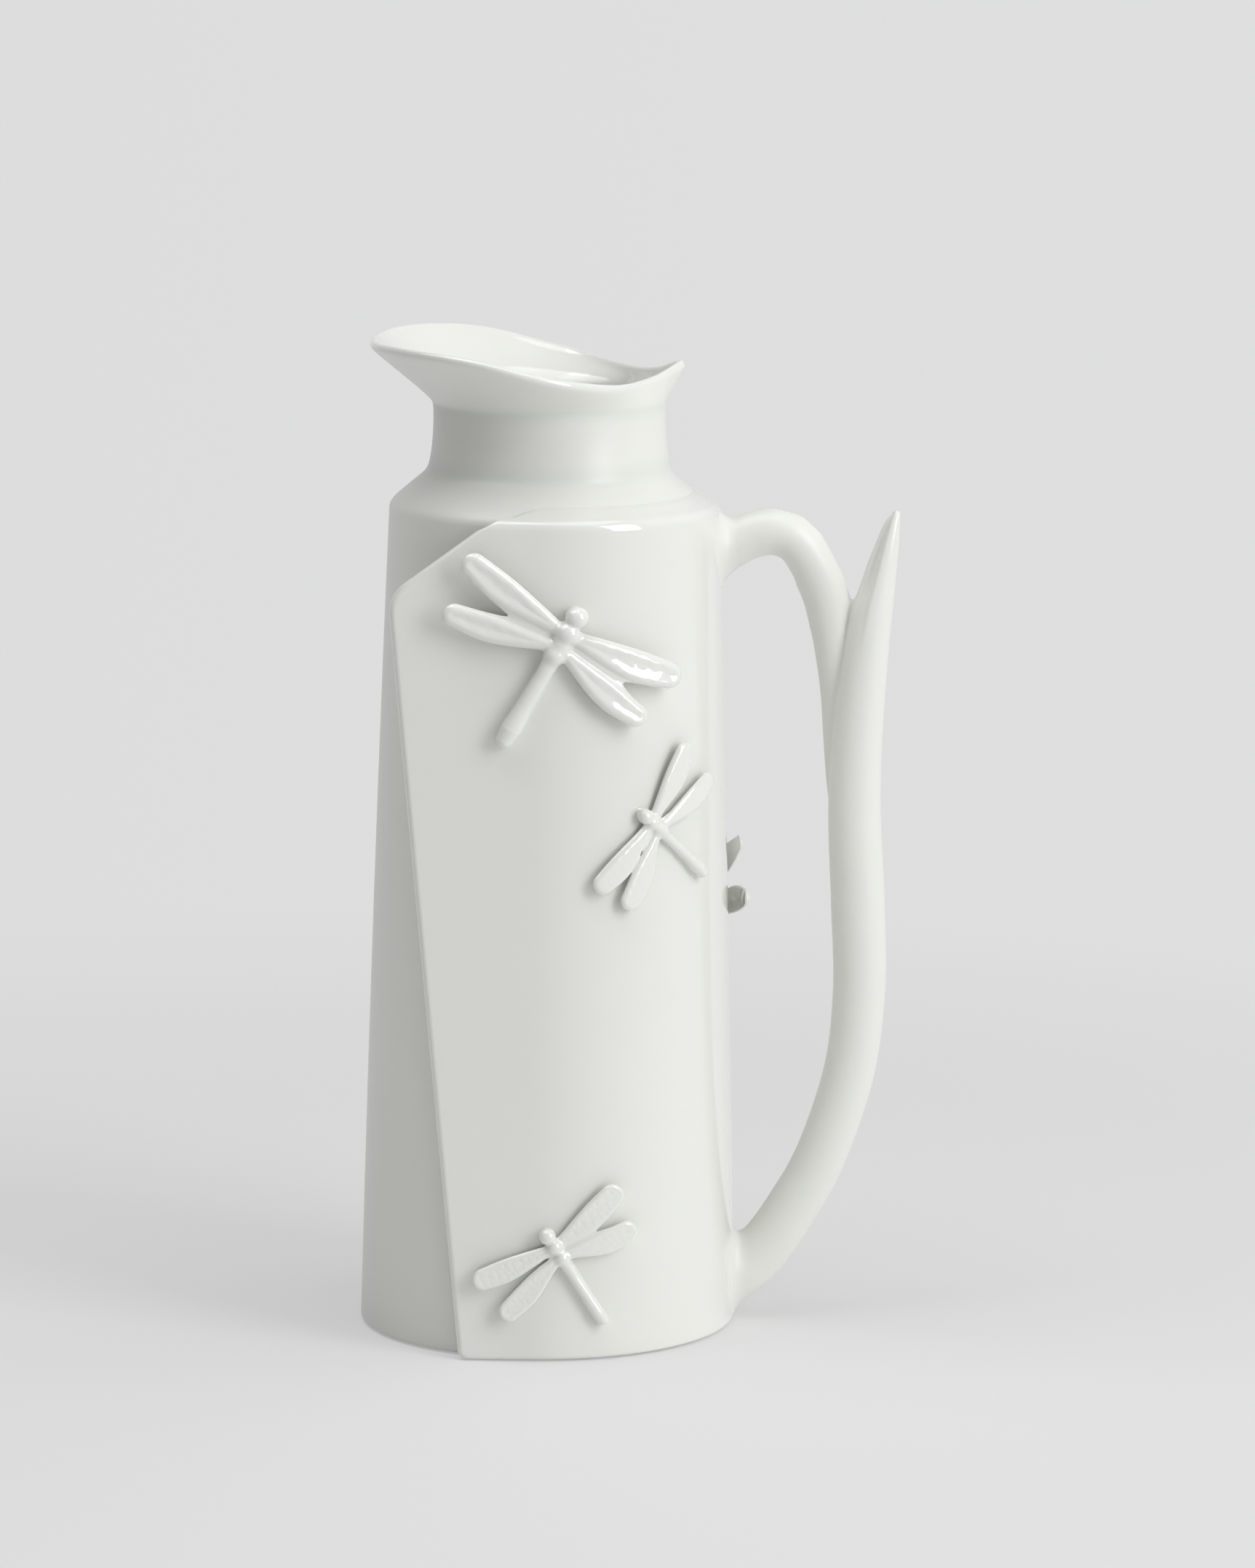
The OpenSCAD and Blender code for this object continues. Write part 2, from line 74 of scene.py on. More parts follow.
# Smooth line through given places, one unit of t from each place to the next: cubic pieces whose slope at a
# place is half the way between its two neighbours
def through(places, t):
    spots = np.asarray(places, float)
    i = np.clip(np.floor(t).astype(int), 0, len(spots) - 2)
    f = (t - i)[:, None]
    a, b, c, d = (spots[np.clip(i + k, 0, len(spots) - 1)] for k in (-1, 0, 1, 2))
    return 0.5 * (2 * b + (c - a) * f + (2 * a - 5 * b + 4 * c - d) * f ** 2
                  + (3 * b - a - 3 * c + d) * f ** 3)


# Stretches of evenly spaced values, each given as its first, its last and their count
def stretches(rows):
    return np.concatenate([np.linspace(*row) for row in rows])


# Quads of a grid of points that are numbered row by row; a closed way joins its last line to its first
def gridFaces(rows, cols, closedRows=False, closedCols=False):
    r, c = np.arange(rows - (not closedRows)), np.arange(cols - (not closedCols))
    row, col = (m.ravel() for m in np.meshgrid(r, c, indexing="ij"))
    nextRow, nextCol = (row + 1) % rows, (col + 1) % cols
    corners = ((row, col), (row, nextCol), (nextRow, nextCol), (nextRow, col))
    return np.stack([a * cols + b for a, b in corners], 1)


# Object with its data, put into the scene
def newObject(name, data):
    thing = bpy.data.objects.new(name, data)
    bpy.context.scene.collection.objects.link(thing)
    return thing


# Piece from points in millimetres: points that fall together become one, and a quad that lost a corner
# becomes a triangle; poolShade and satin are marks at the points, which the glaze reads: poolShade paints
# shade into the colour, satin dulls the gloss
def makePiece(name, points, quads, nodes, poolShade=0.0, satin=0.0):
    points = np.asarray(points, float).reshape(-1, 3)
    key = np.round(points / weldGap).astype(np.int64)
    first, back = np.unique(key, axis=0, return_index=True, return_inverse=True)[1:]
    quads = back.reshape(-1)[quads]
    same = quads == np.roll(quads, -1, axis=1)
    lost = same.sum(1)
    tris = quads[lost == 1][~same[lost == 1]].reshape(-1, 3)
    mesh = bpy.data.meshes.new(name)
    mesh.from_pydata((points[first] * mm).tolist(), [], quads[lost == 0].tolist() + tris.tolist())
    mesh.shade_smooth()
    for mark, values in (("poolShade", poolShade), ("satin", satin)):
        values = np.broadcast_to(np.asarray(values, np.float32).reshape(-1), len(points))
        mesh.attributes.new(mark, "FLOAT", "POINT").data.foreach_set("value", values[first])
    piece = newObject(name, mesh)
    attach(piece, "root")
    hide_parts(*nodes)
    print(name, len(mesh.vertices), "points", len(mesh.polygons), "faces")
    return piece


# Surface net: on a grid of cells in a box, each cell that the field's zero level crosses gets one point, the
# mean of the crossings on its edges, and each crossed edge a quad between the four cells round it
def netSurface(field, low, high, step):
    axes = [a + step * np.arange(int((b - a) / step) + 2) for a, b in zip(low, high)]
    value = field(axes[0][:, None, None], axes[1][None, :, None], axes[2][None, None, :])
    inside = value < 0
    size = [count - 1 for count in value.shape]
    corners = [(i, j, k) for i in (0, 1) for j in (0, 1) for k in (0, 1)]

    # Values at the same corner of every cell
    def atCorner(grid, c):
        return grid[c[0]:c[0] + size[0], c[1]:c[1] + size[1], c[2]:c[2] + size[2]]

    full = sum(atCorner(inside, c).astype(np.int8) for c in corners)
    cell = (full > 0) & (full < len(corners))
    index = np.full(size, -1)
    index[cell] = np.arange(cell.sum())
    place = np.argwhere(cell).astype(float)
    total, hits = np.zeros_like(place), np.zeros((len(place), 1))
    for c in corners:
        for axis in [k for k in range(3) if not c[k]]:
            edge = np.eye(3, dtype=int)[axis]
            a, b = atCorner(value, c)[cell], atCorner(value, tuple(np.add(c, edge)))[cell]
            cross = (a < 0) != (b < 0)
            share = (a[cross] / (a[cross] - b[cross]))[:, None]
            total[cross] += np.array(c) + share * edge
            hits[cross] += 1
    points = np.asarray(low, float) + step * (place + total / hits)
    quads = []
    for axis in range(3):
        way = (axis, (axis + 1) % 3, (axis + 2) % 3)
        side, ids = inside.transpose(way), index.transpose(way)
        near, far = side[:-1, 1:-1, 1:-1], side[1:, 1:-1, 1:-1]
        i, j, k = np.nonzero(near != far)
        quad = np.stack([ids[i, j, k], ids[i, j + 1, k], ids[i, j + 1, k + 1], ids[i, j, k + 1]], 1)
        turned = ~near[i, j, k]
        quad[turned] = quad[turned][:, ::-1]
        quads.append(quad)
    quads = np.concatenate(quads)
    return settle(field, points, quads, step), quads


netSet = {"turns": 8, "driftTurns": 4, "drift": 0.6, "probe": 0.02, "leastSteep": 0.25}


# Points of a net move down the field's slope onto its zero level, at most half a cell in a turn; in the
# first turns they also drift to the mean of their neighbours, which evens the quads out
def settle(field, points, quads, step):
    a, b = quads.ravel(), np.roll(quads, -1, axis=1).ravel()
    count = np.maximum(np.bincount(a, minlength=len(points)), 1)
    probe = netSet["probe"]
    for turn in range(netSet["turns"]):
        if turn < netSet["driftTurns"]:
            mean = np.stack([np.bincount(a, points[b, k], len(points)) / count for k in range(3)], 1)
            points = points + netSet["drift"] * (mean - points)
        slope = [field(*(points + e).T) - field(*(points - e).T) for e in np.eye(3) * probe]
        slope = np.stack(slope, 1) / (2 * probe)
        steep = np.maximum((slope ** 2).sum(1), netSet["leastSteep"])
        move = slope * (field(*points.T) / steep)[:, None]
        points = points - np.clip(move, -step / 2, step / 2)
    return points


# Vessel: floor, barrel, shoulder, neck and lip as one turned wall, whose section changes round the lip
vesselSet = {
    "turns": 224, "foot": 52.2, "top": 43.9, "height": 230.0, "swell": 0.5, "wall": 4.5,
    "lift": 0.5, "edge": 1.0,  # gap under the wall, rounding of its lower edge
    "ring": 47.55, "floor": (3.0, 8.0),  # outer radius of the foot ring, under and upper face of the floor
    # Under the floor: radii, then steps out from the foot ring and heights; over it: radii and steps up
    "underReach": (0, 24, 46.5), "groove": ((0.1, 1.2), (0.2, 0.55), (1.45, 0.5)),
    "floorReach": ((45.8, 0.1), (44.5, 0), (24, 0), (0, 0)),
    # Rows of the wall outside and inside: first height, last height, count; turn of the inside at the floor
    "barrelRows": ((1.6, 20, 14), (24, 210, 46), (214, 229.6, 14)),
    "innerRows": ((226, 24, 20), (20, 12, 5), (9.6, 8.6, 2)), "innerTurn": (0.6, 11, 8),
    "shoulderRise": 11.5, "shoulderTurn": (3.1, 4.4),
    # Inner side of the shoulder, in steps out and up from the foot of the neck
    "roof": ((0, -1), (0.5, -2.4), (6.6, -7.9), (8.6, -9.5), (9.6, -11.1)),
    # Neck: bend out of the shoulder, radii, share of its height where it is narrowest, shift to the handle
    "neckTurn": (1.0, 1.7), "neckPull": (0.6, 0.25), "neckBase": 33.4, "neckWaist": 32.1, "waistAt": 0.8,
    "neckHeight": 18.0, "neckWall": 4.0, "neckShift": 0.45, "shiftRise": (236, 246),
    # Lip: rounding of the rim, angle left out at its sides, its lean, height of its crest, pull of the curves
    "rim": 1.35, "rimGap": 0.12, "rimLean": 0.5, "crest": 1.94, "flareStart": (0.4, 1.6), "lipPull": 0.3,
    "bowlEnd": 3.6,
    # Crest of the lip at angles from the rear tip: reach past the neck and rise over it
    "lipAngle": (0, 14, 34, 60, 90, 116, 142, 180),
    "lipReach": (3.8, -0.4, -1.8, 2.2, 10.8, 14.9, 16.9, 15.9),
    "lipRise": (9.8, 7.2, 6.0, 6.3, 9.8, 14.6, 16.1, 15.5),
    "count": {"edge": 8, "bend": 13, "slope": 16, "neckBend": 5, "neck": 32, "lip": 34, "rim": 15,
              "throat": 16},  # rows of the sections
    "skip": {"slope": 0.06, "neckBend": 0.2, "neck": 0.03},  # shares left free next to the section before
    # Joints that are softened: section, rows past its start, reach in rows
    "joints": (("shoulder", 20, 16), ("neck", 0, 11), ("flare", 0, 13), ("rim", 0, 7), ("bowl", 0, 7),
               ("throat", 0, 10)),
    "jointEase": 5, "softenTurns": 12, "soften": 0.5,
    "poolShades": (("neck", 9), ("flare", 8)),  # sections at whose start shade is painted, darker and greener as pooled glaze, reach in rows
    # Rows about the start of a section over which the lip turns glossy inside, and dull again
    "gloss": {"rim": (-4, 4), "throat": (-4, -16)}}


# Radius of the barrel at a height: a cone with a slight parabolic swell
def barrelRadius(z):
    q = z / vesselSet["height"]
    cone = vesselSet["foot"] + (vesselSet["top"] - vesselSet["foot"]) * q
    return cone + 4 * vesselSet["swell"] * q * (1 - q)


# Reach and rise of the lip's crest at angles from the rear tip: cubic pieces with mean slopes at the places
def lipCrest(angle):
    places = np.array(vesselSet["lipAngle"], float)
    crest = np.stack([vesselSet["lipReach"], vesselSet["lipRise"]], 1)
    slope = np.zeros_like(crest)
    slope[1:-1] = (crest[2:] - crest[:-2]) / (places[2:] - places[:-2])[:, None]
    i = np.clip(np.searchsorted(places, angle, side="right") - 1, 0, len(places) - 2)
    gap = (places[i + 1] - places[i])[:, None]
    f = (angle - places[i])[:, None] / gap
    return (crest[i] * (2 * f ** 3 - 3 * f ** 2 + 1) + slope[i] * gap * (f ** 3 - 2 * f ** 2 + f)
            + crest[i + 1] * (3 * f ** 2 - 2 * f ** 3) + slope[i + 1] * gap * (f ** 3 - f ** 2))


# Shoulder's outer line: a round bend out of the wall, a straight slope, and a hollow bend into the neck
def shoulderSection(base):
    s = vesselSet
    wallTop = np.array([s["top"], s["height"]])
    bend = wallTop + [-s["shoulderTurn"][0], s["shoulderTurn"][1]]
    neckFoot = np.array([s["neckBase"], base])
    neckBend = neckFoot + [s["neckTurn"][0], -s["neckTurn"][1]]
    pull, inward = s["neckPull"]
    crown = wallTop + [0, s["shoulderTurn"][1] / 2]
    hollow = neckBend * (1 - pull) + neckFoot * pull - [inward, 0]
    return np.concatenate([
        quadratic(wallTop, crown, bend, np.linspace(0, 1, s["count"]["bend"])),
        bend + (neckBend - bend) * np.linspace(s["skip"]["slope"], 1, s["count"]["slope"])[:, None],
        quadratic(neckBend, hollow, neckFoot, np.linspace(s["skip"]["neckBend"], 1, s["count"]["neckBend"]))])


# Sections of the wall that are the same all round, as radius and height; the neck's waist is a parabola
def turnedSections():
    s = vesselSet
    base = s["height"] + s["shoulderRise"]
    low, high = s["floor"]
    under = [(r, low) for r in s["underReach"] + (s["ring"],)] + [(s["ring"] + r, z) for r, z in s["groove"]]
    phi = np.linspace(0, np.pi / 2, s["count"]["edge"])
    edge = np.stack([barrelRadius(s["lift"] + s["edge"]) - s["edge"] * (1 - np.sin(phi)),
                     s["lift"] + s["edge"] * (1 - np.cos(phi))], 1)
    z = stretches(s["barrelRows"])
    zi = stretches(s["innerRows"])
    inner = barrelRadius(zi) - s["wall"] - s["innerTurn"][0] * ease(zi, *s["innerTurn"][1:])
    up = np.linspace(s["skip"]["neck"], 1, s["count"]["neck"])
    waist = s["neckWaist"] + (s["neckBase"] - s["neckWaist"]) * (1 - up / s["waistAt"]) ** 2
    down = np.linspace(1 - s["skip"]["neck"], 0, s["count"]["throat"])
    throat = waist[-1] - s["neckWall"] + (s["neckBase"] - waist[-1]) * (1 - down)
    return {"under": np.array(under), "edge": edge, "barrel": np.stack([barrelRadius(z), z], 1),
            "shoulder": shoulderSection(base), "neck": np.stack([waist, base + s["neckHeight"] * up], 1),
            "throat": np.stack([throat, base + s["neckHeight"] * down], 1),
            "roof": np.array(s["roof"]) + [s["neckBase"] - s["neckWall"], base],
            "inner": np.stack([inner, zi], 1), "floor": np.array(s["floorReach"]) + [0, high]}


# Sections of the lip for each angle: flare outside, half a circle over the rim, bowl inside
def lipSections(mouth, angle):
    s = vesselSet
    crest = lipCrest(np.where(angle > 180, 360 - angle, angle))
    way = np.stack([s["rimLean"] * (crest[:, 0] + s["neckWall"] / 2), crest[:, 1]], 1)
    way /= np.linalg.norm(way, axis=1)[:, None]
    out = np.stack([way[:, 1], -way[:, 0]], 1)
    hub = mouth + crest + way * (s["crest"] - s["rim"])
    tip, back = hub + out * s["rim"], hub - out * s["rim"]
    outer = np.broadcast_to(mouth, tip.shape)
    inner = outer - [s["neckWall"], 0]
    phi = np.linspace(s["rimGap"], np.pi - s["rimGap"], s["count"]["rim"])[:, None, None]
    return {"flare": cubic(outer, outer + s["flareStart"], tip - s["lipPull"] * (tip - outer), tip,
                           np.linspace(s["skip"]["neck"], 1, s["count"]["lip"])),
            "rim": hub + s["rim"] * (out * np.cos(phi) + way * np.sin(phi)),
            "bowl": cubic(back, back - s["lipPull"] * (back - inner), inner + [0, s["bowlEnd"]], inner,
                          np.linspace(0, 1, s["count"]["lip"]))}


# Rows of the turned wall as radius and height for each angle, from under the floor out, up, over the rim and
# down inside; with the marks at each point and the shoulder's outer line
def vesselRows():
    s = vesselSet
    angle = np.arange(s["turns"]) * 360 / s["turns"]
    sections = turnedSections()
    sections.update(lipSections(sections["neck"][-1], angle))
    rows, start = [], {}
    for name in ("under", "edge", "barrel", "shoulder", "neck", "flare", "rim", "bowl", "throat", "roof",
                 "inner", "floor"):
        section = sections[name]
        if section.ndim == 2:
            section = np.broadcast_to(section[:, None], (len(section), len(angle), 2))
        start[name] = sum(len(m) for m in rows)
        rows.append(section)
    rows = np.concatenate(rows)
    count = np.arange(len(rows))

    # 1 about a row, easing to 0 from an inner to an outer distance in rows
    def about(at, inner, outer):
        return 1 - ease(np.abs(count - at), inner, outer)

    # The joints are softened by letting each row drift to its neighbours' mean
    near = [about(start[name] + past, reach - s["jointEase"], reach) for name, past, reach in s["joints"]]
    share = np.max(near, axis=0)[:, None, None]
    for turn in range(s["softenTurns"]):
        mean = (np.roll(rows, 1, 0) + np.roll(rows, -1, 0)) / 2
        rows = rows + s["soften"] * share * (mean - rows)
    # Painted shade: a darker, greener colour in the creases at the foot of the neck and under the lip
    poolShade = np.max([about(start[name], 0, reach) for name, reach in s["poolShades"]], axis=0)
    rimRows, throatRows = ([start[name] + k for k in s["gloss"][name]] for name in ("rim", "throat"))
    satin = 1 - ease(count, *rimRows) * ease(count, *throatRows)
    poolShade, satin = (np.broadcast_to(mark[:, None], rows.shape[:2]) for mark in (poolShade, satin))
    return rows, angle, poolShade, satin, rows[start["shoulder"]:start["neck"], 0]


# Points of a turned form: rows of radius and height, led round by the angles
def turnedPoints(rows, turn):
    r, z = rows[..., 0], rows[..., 1]
    return np.stack([r * np.cos(turn), r * np.sin(turn), z + 0 * turn], -1)


rows, angle, poolShade, satin, shoulderLine = vesselRows()
vesselPoints = turnedPoints(rows, np.radians(angle))
vesselPoints[..., 0] += vesselSet["neckShift"] * ease(vesselPoints[..., 2], *vesselSet["shiftRise"])
vessel = makePiece("vessel", vesselPoints, gridFaces(len(rows), len(angle), closedCols=True),
                   ["barrel_wall", "floor_disc", "shoulder", "neck_collar", "pouring_lip"], poolShade, satin)


# Foot ring: a turned ring with rounded standing edges, ground bare
footSet = {"out": vesselSet["ring"], "height": vesselSet["floor"][0], "width": 5.5, "round": 0.8,
           "flat": 1.2, "turns": 160, "edgeRows": 7, "faceRows": 5}


# Section of the foot ring: quarter circles down its inner and up its outer edge, the standing face between
def footSection():
    s = footSet
    inner, outer = s["out"] - s["width"], s["out"]
    phi = np.linspace(0, np.pi / 2, s["edgeRows"])
    fall, grow = s["round"] * (1 - np.sin(phi)), s["round"] * (1 - np.cos(phi))
    face = np.linspace(inner + s["flat"], outer - s["flat"], s["faceRows"])
    return np.concatenate([np.stack([inner + grow, fall], 1), np.stack([face, 0 * face], 1),
                           np.stack([outer - fall, grow], 1), [[outer, s["height"]], [inner, s["height"]]]])


ring = footSection()
footTurn = np.arange(footSet["turns"]) * 2 * np.pi / footSet["turns"]
footRing = makePiece("foot_ring_bare", turnedPoints(ring[:, None], footTurn),
                     gridFaces(len(ring), len(footTurn), True, True), ["foot_ring"])


# Jacket: a sheet whose side profile is led round the handle side and straight on along two free flaps
jacketSet = {
    "shift": (-1.2, 1.5), "extra": (1.8, 2.3),  # shift of the axis, radius over the barrel's, at foot and top
    "round": 3.4, "topDrop": 0.6, "topTurn": 1.0,  # upper edge: radius, start under the barrel's top, angle
    "turn": 2.5, "arcHeight": 120.0,  # degrees past the side where a flap leaves, height where arcs are true
    # Front flap's outline in the side view: reach of the foot, corner, and a place on the slanting edge
    "lift": 0.3, "foot": 23.7, "corner": (43.1, 211.6), "slant": (12.6, 4.0), "overrun": 0.9,
    "cornerRound": 6.0, "footRound": 2.8, "edgeRows": (12, 64, 18, 56),
    # Thickness, roundings of the free and the lower edge, rows from the one to the other, height of levelling
    "thick": 3.6, "edge": 1.7, "footEdge": 1.1, "edgeGrow": (0, 11), "levelRise": 45,
    # Columns of a flap, those at its edge and their reach, how rows fan out, columns round the back
    "flapCols": 40, "edgeCols": 13, "edgeReach": (3.2, 0.4), "fan": 1.2, "leastRun": 0.5, "roundCols": 104,
    # Slip on the shoulder: width, slope, length over which it grows from a flap, blend and depth at its end
    "cap": 7.5, "capSlope": 0.52, "capGrow": 16.0, "capRows": 19, "capBlend": 1.4, "capUnder": 0.05,
    "capSink": 0.4, "capSinkFrom": 0.5}
lean = math.atan((jacketSet["shift"][1] - jacketSet["shift"][0]) / vesselSet["height"])
jacketTop = vesselSet["height"] - jacketSet["topDrop"]


# Jacket's own leaning frame to the object's frame, and back for points of the side view
def leaning(p):
    x, z = p[..., 0], p[..., 2]
    return np.stack([jacketSet["shift"][0] + x * math.cos(lean) + z * math.sin(lean), p[..., 1],
                     z * math.cos(lean) - x * math.sin(lean)], -1)


def upright(x, z):
    x = x - jacketSet["shift"][0]
    return x * math.cos(lean) - z * math.sin(lean), x * math.sin(lean) + z * math.cos(lean)


# Radius of the jacket's face at a height in its own frame
def jacketRadius(z):
    low, high = jacketSet["extra"]
    return barrelRadius(z) + low + (high - low) * z / vesselSet["height"]


flapLine = math.radians(90 + jacketSet["turn"])  # angle from the handle's side at which a flap leaves
arcRadius = jacketRadius(jacketSet["arcHeight"])


# Point over the jacket: arc length round it, straight on past a flap's line, height along its side, and
# depth under its face; the inner face has no rounding at the top
def onJacket(arc, side, depth, inner=False):
    bend = jacketSet["round"]
    over = 0.0 if inner else np.maximum(side - jacketTop, 0) / bend
    z = np.minimum(side, jacketTop)
    r = jacketRadius(z) - bend * (1 - np.cos(over)) - depth * np.cos(over)
    tall = z + bend * np.sin(over) - depth * np.sin(over)
    a = arc / arcRadius
    b = np.clip(a, -flapLine, flapLine)
    run = (a - b) * arcRadius
    return np.stack([r * np.cos(b) - run * np.sin(b), r * np.sin(b) + run * np.cos(b), tall], -1)


# Free edge of the front flap as length past the flap's line and height along the side: rounded lower corner,
# long edge, rounded upper corner, and slanting edge up to where the rounding at the top ends
def flapEdge():
    s = jacketSet
    corner = np.array([-s["corner"][0], s["corner"][1]])
    low = np.array([-s["foot"], s["lift"]])
    upper = np.array([-s["slant"][0], vesselSet["height"] + s["slant"][1]]) - corner
    upper /= np.linalg.norm(upper)
    down = (low - corner) / np.linalg.norm(low - corner)
    lowEnd = low - down * s["footRound"]
    cornerLow, cornerHigh = corner + down * s["cornerRound"], corner + upper * s["cornerRound"]
    crown = jacketTop + s["round"] * math.sin(s["topTurn"]) + s["overrun"]
    high = corner + upper * (crown - corner[1]) / upper[1]
    footPart, longPart, cornerPart, slantPart = (np.linspace(0, 1, k, endpoint=False) for k in s["edgeRows"])
    edge = np.concatenate([quadratic(low + [s["footRound"], 0], low, lowEnd, footPart),
                           lowEnd + (cornerLow - lowEnd) * longPart[:, None],
                           quadratic(cornerLow, corner, cornerHigh, cornerPart),
                           cornerHigh + (high - cornerHigh) * slantPart[:, None], high[None]])
    x, z = upright(edge[:, 0], edge[:, 1])
    rise = np.clip((z - jacketTop) / s["round"], 0, math.sin(s["topTurn"]))
    over = np.arcsin(rise)
    side = np.where(z > jacketTop, jacketTop + s["round"] * over, z)
    r = jacketRadius(np.minimum(z, jacketTop)) - s["round"] * (1 - np.cos(over))
    a = math.radians(s["turn"])
    run = (-x - r * math.sin(a)) / math.cos(a)
    last = np.argmax(rise >= math.sin(s["topTurn"])) + 1
    return run[:last], side[:last]


# Share of the sheet's full thickness at spots of run and side: 0 on the flap's edge and at the lower edge,
# from where it grows as a quarter ellipse
def sheetShare(run, side, spot, above):
    s = jacketSet
    edge = np.stack([run, side], 1)
    widths = np.interp(np.arange(len(edge) - 1), s["edgeGrow"], (s["footEdge"], s["edge"]))
    close = np.clip(above / s["footEdge"], 0, 1)
    for start, end, width in zip(edge[:-1], edge[1:], widths):
        way = end - start
        t = np.clip(((spot - start) * way).sum(-1) / (way ** 2).sum(), 0, 1)
        gap = np.linalg.norm(spot - start - t[..., None] * way, axis=-1)
        close = np.minimum(close, gap / width)
    return np.sqrt(1 - (1 - close) ** 2)


# From the top of the rounding the slip runs in and up onto the shoulder in a soft hollow, less so near the
# flaps' edges
def jacketCap(last, full, inward):
    s = jacketSet
    far = np.hypot(last[:, 0], last[:, 1])
    part = np.linspace(0, 1, s["capRows"])[1:, None]
    run = far - part * s["cap"] * ease(inward, 0, s["capGrow"])
    under = np.interp(run, shoulderLine[::-1, 0], shoulderLine[::-1, 1]) - s["capUnder"]
    tall = -softMin(-last[:, 2] - s["capSlope"] * (far - run), -under, s["capBlend"])
    tall = tall - s["capSink"] * ease(part, s["capSinkFrom"], 1)
    tall = last[:, 2] + (tall - last[:, 2]) * full
    return np.stack([last[:, 0] * run / far, last[:, 1] * run / far, tall], -1)


# Sheet of the jacket: columns from the front flap's edge round to the back flap's, outer rows up, cap, and
# inner rows down; near the free edges both faces close on the sheet's middle
def jacketSheet():
    s = jacketSet
    run, side = flapEdge()
    run = np.maximum(run, s["leastRun"])
    low = side[0]
    # Rows round the back are spaced as the points of the flap's edge, and over the top as the rounding
    step = np.r_[0, np.cumsum(np.hypot(np.diff(run), np.diff(side)))]
    stem = low + (side[-1] - low) * step / step[-1]
    stretch = (jacketTop - low) / (np.interp(jacketTop, side, stem) - low)
    stem = np.maximum.accumulate(np.where(side > jacketTop, side, low + (stem - low) * stretch))
    # Columns of a flap stand closer at its edge, for the rounding there
    bend = 1 - np.cos(np.linspace(0, np.pi / 2, s["edgeCols"]))
    reach = np.minimum(s["edgeReach"][0], run * s["edgeReach"][1])[:, None] * bend
    rest = np.linspace(0, 1, s["flapCols"] - s["edgeCols"] + 1)[1:]
    offset = np.concatenate([reach, reach[:, -1:] + (run[:, None] - reach[:, -1:]) * rest], 1)
    share = offset / run[:, None]
    flapRun = run[:, None] - offset
    flapSide = side[:, None] + (stem - side)[:, None] * share ** s["fan"]
    limit = flapLine * arcRadius
    roundArc = np.linspace(-limit, limit, s["roundCols"])[1:-1]
    grid = (len(run), len(roundArc))
    arc = np.concatenate([-limit - flapRun, np.broadcast_to(roundArc, grid), limit + flapRun[:, ::-1]], 1)
    high = np.concatenate([flapSide, np.broadcast_to(stem[:, None], grid), flapSide[:, ::-1]], 1)
    share = np.concatenate([share, np.ones(grid), share[:, ::-1]], 1)
    # The lower edge stays level although the jacket leans
    drop = share * (s["lift"] + onJacket(arc, high, 0.0)[..., 0] * math.tan(lean) - low)
    high = high + drop * np.clip(1 - (high - low) / s["levelRise"], 0, 1) ** 2
    spot = np.stack([np.maximum(np.abs(arc) - limit, 0), high], -1)
    full = sheetShare(run, side, spot, high - low - drop)
    outer = leaning(onJacket(arc, high, s["thick"] / 2 * (1 - full)))
    middle = onJacket(arc, high, s["thick"] / 2)
    inner = middle + (onJacket(arc, high, s["thick"], True) - middle) * full[..., None]
    cap = jacketCap(outer[-1], full[-1], limit + flapRun[-1, 0] - np.abs(arc[-1]))
    return np.concatenate([outer, cap, leaning(inner)[::-1]])


sheet = jacketSheet()
jacket = makePiece("jacket", sheet, gridFaces(*sheet.shape[:2], closedRows=True),
                   ["wrap_panel"])


